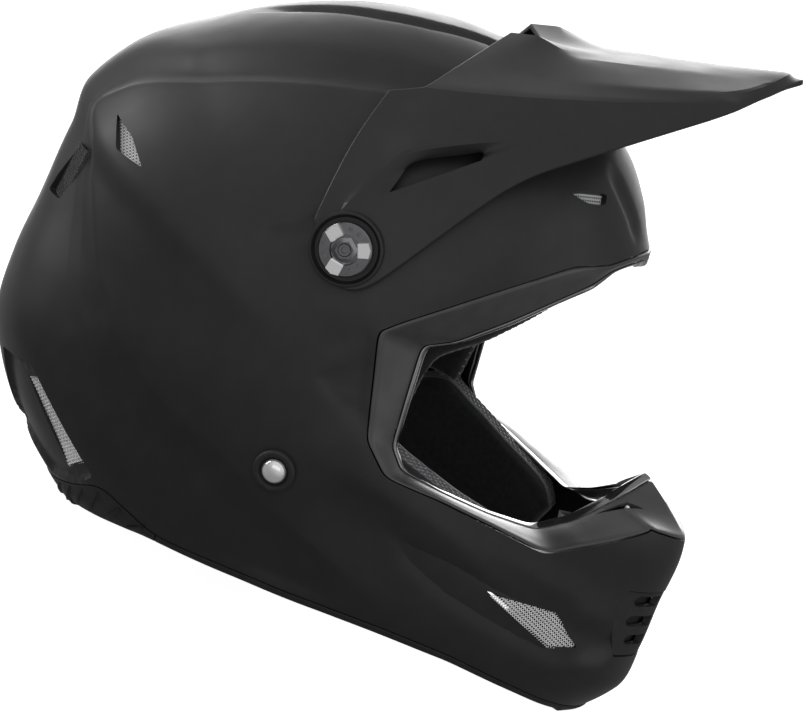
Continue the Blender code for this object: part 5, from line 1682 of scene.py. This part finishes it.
def make_straps():
    eye = [(RING_BAR[0] + EYE_RADIUS * math.cos(a), RING_BAR[1] + EYE_RADIUS * math.sin(a))
           for a in (math.radians(turn) for turn in range(-75, -390, -9))]
    lead = smooth_line([STRAP_DROP[-1], (62, 8.0), (56, 7.0), eye[0]], 4)[1:-1]
    lines = {"left": smooth_line(STRAP_DROP, 6) + lead + eye, "right": smooth_line(STRAP_DROP + LONG_END, 6)}
    for side, word in SIDES:
        verts, faces, uv = webbing(lines[word], side)
        piece(f"strap_webbing_{word}", verts, faces, "webbing_weave", f"strap_{word}", "webbing",
              f"chin_strap_{word}", sharp=55, uv=uv)
        shapes = []
        for level in STITCH_ROWS:
            y = np.interp(-level, [-z for _, z in STRAP_DROP], [y for y, _ in STRAP_DROP])
            shapes += stitches([np.array([RIVET[0] + dx, side * y, level]) for dx in np.arange(-9, 9.1, 2.0)],
                               np.array([0, side * 0.98, -0.17]))
        if word == "right":
            for y in END_ROWS:
                shapes += stitches([np.array([RIVET[0] + dx, -y, 8.9]) for dx in (-9, 9)],
                                   np.array([0, 0, 1.0]))
        piece(f"strap_stitches_{word}", *join(*shapes), "thread", f"strap_{word}", "webbing", sharp=60)
        place, facing = rivet_frame(side)
        rivet = [(0, -12.6), (4.6, -12.6), (4.6, -11.4), (2.2, -11.4), (2.2, 1.4), (5.5, 1.4)]
        rivet += [(5.6 * math.cos(a), 1.6 + 3.2 * math.sin(a)) for a in np.linspace(0, math.pi / 2, 12)[:-1]]
        piece(f"rivet_{word}", *turned(rivet + [(0, 4.8)], place, facing, 64), "bright_chrome", "shell",
              "chrome", f"strap_rivet_{word}", sharp=40)
        ring = [(2.6, -0.4), (9.7, -0.4), (9.9, 2.2), (9.0, 3.0), (7.2, 2.9), (6.3, 1.0), (2.6, 1.0)]
        piece(f"washer_{word}", *turned(rounded(ring, 0.5), place, facing, 64), "rubber", "shell",
              "black_rubber", f"rivet_washer_{word}", sharp=35)


def make_d_rings():
    """The two D-rings on the left strap, and the press stud on the right one."""
    half, reach, shoulder = RING_SIZE
    bend = reach / 2
    outline = [(x, 0.0) for x in np.linspace(shoulder - half, half - shoulder, 16)]
    outline += [(half - shoulder + shoulder * math.sin(a), -shoulder * (1 - math.cos(a)))
                for a in np.linspace(0, math.pi / 2, 8)[1:]]
    outline += [(half, -y) for y in np.linspace(shoulder, bend, 5)[1:]]
    outline += [(half * math.cos(a), -bend - bend * math.sin(a))
                for a in np.linspace(0, math.pi, 33)[1:-1]]
    outline += [(-half, -y) for y in np.linspace(bend, shoulder, 5)]
    outline += [(-half + shoulder - shoulder * math.sin(a), -shoulder * (1 - math.cos(a)))
                for a in np.linspace(math.pi / 2, 0, 8)[1:-1]]
    for word, side in (("inner", 1), ("outer", -1)):
        place = np.array([RIVET[0], RING_BAR[0], RING_BAR[1] + side * RING_SHIFT])
        path = [place + np.array([x, y, 0.0]) for x, y in outline]
        piece(f"ring_wire_{word}", *tube(path, RING_WIRE, 14, True), "bright_chrome", f"ring_{word}",
              "chrome", f"d_ring_{word}", sharp=60)
    stud = [(0, 1.0), (5.6, 1.0), (6.0, 1.3), (6.0, 2.0), (5.2, 2.5), (4.4, 2.5), (3.9, 3.0), (2.0, 3.25),
            (0, 3.3)]
    piece("snap_stud", *turned(stud, (RIVET[0], -20.0, 8.8), (0, 0, 1), 48), "bright_chrome", "strap_right",
          "chrome", "strap_snap", sharp=35)


make_straps()
make_d_rings()


# ---- camera and light -----------------------------------------------------------------------------
TARGET = Vector((12.0 + CENTRING, 0.0, 116.5)) * MM
VIEW_FROM = Vector((0.1127, -0.9728, 0.2023)).normalized()
VIEW_UP = Vector((-0.4171, 0.1385, 0.8982))
VIEW_DISTANCE = 2.2
SENSOR, LENS = 36.0, 208.8


def make_camera():
    """Long lens on the wearer's right side, rolled so that the helmet's chin hangs down."""
    data = bpy.data.cameras.new("camera")
    data.sensor_width, data.lens, data.clip_end = SENSOR, LENS, 20.0
    camera = add_object("camera", data)
    right = VIEW_UP.cross(VIEW_FROM).normalized()
    up = VIEW_FROM.cross(right)
    camera.matrix_world = Matrix((right, up, VIEW_FROM)).transposed().to_4x4()
    camera.location = TARGET + VIEW_FROM * VIEW_DISTANCE
    bpy.context.scene.camera = camera


# direction that a glow comes from; the cosines from it between which the glow rises; its least and most
GLOWS = [((-0.28, 0.94, 0.18), 0.3, 0.92, 0.17, 0.45), ((-0.16, 0.98, 0.1), 0.89, 0.985, 0.0, 5.0),
         ((0.33, -0.66, 0.68), 0.0, 1.0, 0.0, 0.5)]
# place and aim in metres, size and watts
LAMPS = {"overhead": ((-0.35, 0.45, 1.5), (0, 0, 0.15), (1.6, 0.8), 0.8),
         "near_fill": ((0.15, -2.0, 0.45), (0, 0, 0.14), (2.0, 0.9), 2.5),
         "rear_edge": ((-1.6, -0.15, 0.7), (-0.1, 0, 0.15), (0.5, 1.2), 13.0),
         "top_edge": ((-0.95, 0.9, 0.95), (-0.1, 0, 0.2), (0.8, 0.5), 1.5),
         "front_edge": ((1.5, 0.15, 0.6), (0.1, 0, 0.15), (0.4, 1.0), 1.6)}


def area_light(name, place, aim, size, power):
    data = bpy.data.lights.new(name, "AREA")
    data.shape = "RECTANGLE"
    data.size, data.size_y = size
    data.energy = power
    lamp = add_object(name, data)
    lamp.location = place
    lamp.rotation_euler = (Vector(aim) - Vector(place)).to_track_quat("-Z", "Y").to_euler()


def make_light():
    """A white backdrop, lit from behind the helmet and dimly from the near side, and softboxes."""
    world = bpy.data.worlds.new("studio")
    bpy.context.scene.world = world
    world.use_nodes = True
    tree = world.node_tree
    shade = tree.nodes["Background"]
    coords = add_node(tree, "ShaderNodeTexCoord").outputs["Generated"]
    level = 0.0
    for direction, *span in GLOWS:
        facing = add_node(tree, "ShaderNodeVectorMath", {0: coords, 1: direction},
                          operation="DOT_PRODUCT").outputs["Value"]
        glow = add_node(tree, "ShaderNodeMapRange", {0: facing, **dict(enumerate(span, 1))},
                        interpolation_type="SMOOTHSTEP").outputs[0]
        level = maths(tree, "ADD", level, glow)
    # the camera sees plain white
    seen = add_node(tree, "ShaderNodeLightPath").outputs["Is Camera Ray"]
    strength = maths(tree, "ADD", seen, maths(tree, "MULTIPLY", maths(tree, "SUBTRACT", 1.0, seen), level))
    shade.inputs["Color"].default_value = (1.0, 1.0, 1.0, 1.0)
    tree.links.new(strength, shade.inputs["Strength"])
    for name, lamp in LAMPS.items():
        area_light(name, *lamp)
    bpy.context.scene.view_settings.view_transform = "Standard"


make_camera()
make_light()


# ---- stage ----------------------------------------------------------------------------------------
FLOOR_HALF, FLOOR_DROP = 40.0, 0.0004       # metres


def make_stage():
    mesh = bpy.data.meshes.new("floor")
    corners = [(x * FLOOR_HALF, y * FLOOR_HALF, 0) for x, y in ((-1, -1), (1, -1), (1, 1), (-1, 1))]
    mesh.from_pydata(corners, [], [(0, 1, 2, 3)])
    floor = add_object("floor", mesh)
    mesh.materials.append(MATERIALS["pale_floor"])
    floor.location.z = -FLOOR_DROP
    floor.visible_glossy = False
    floor.visible_diffuse = False


make_stage()
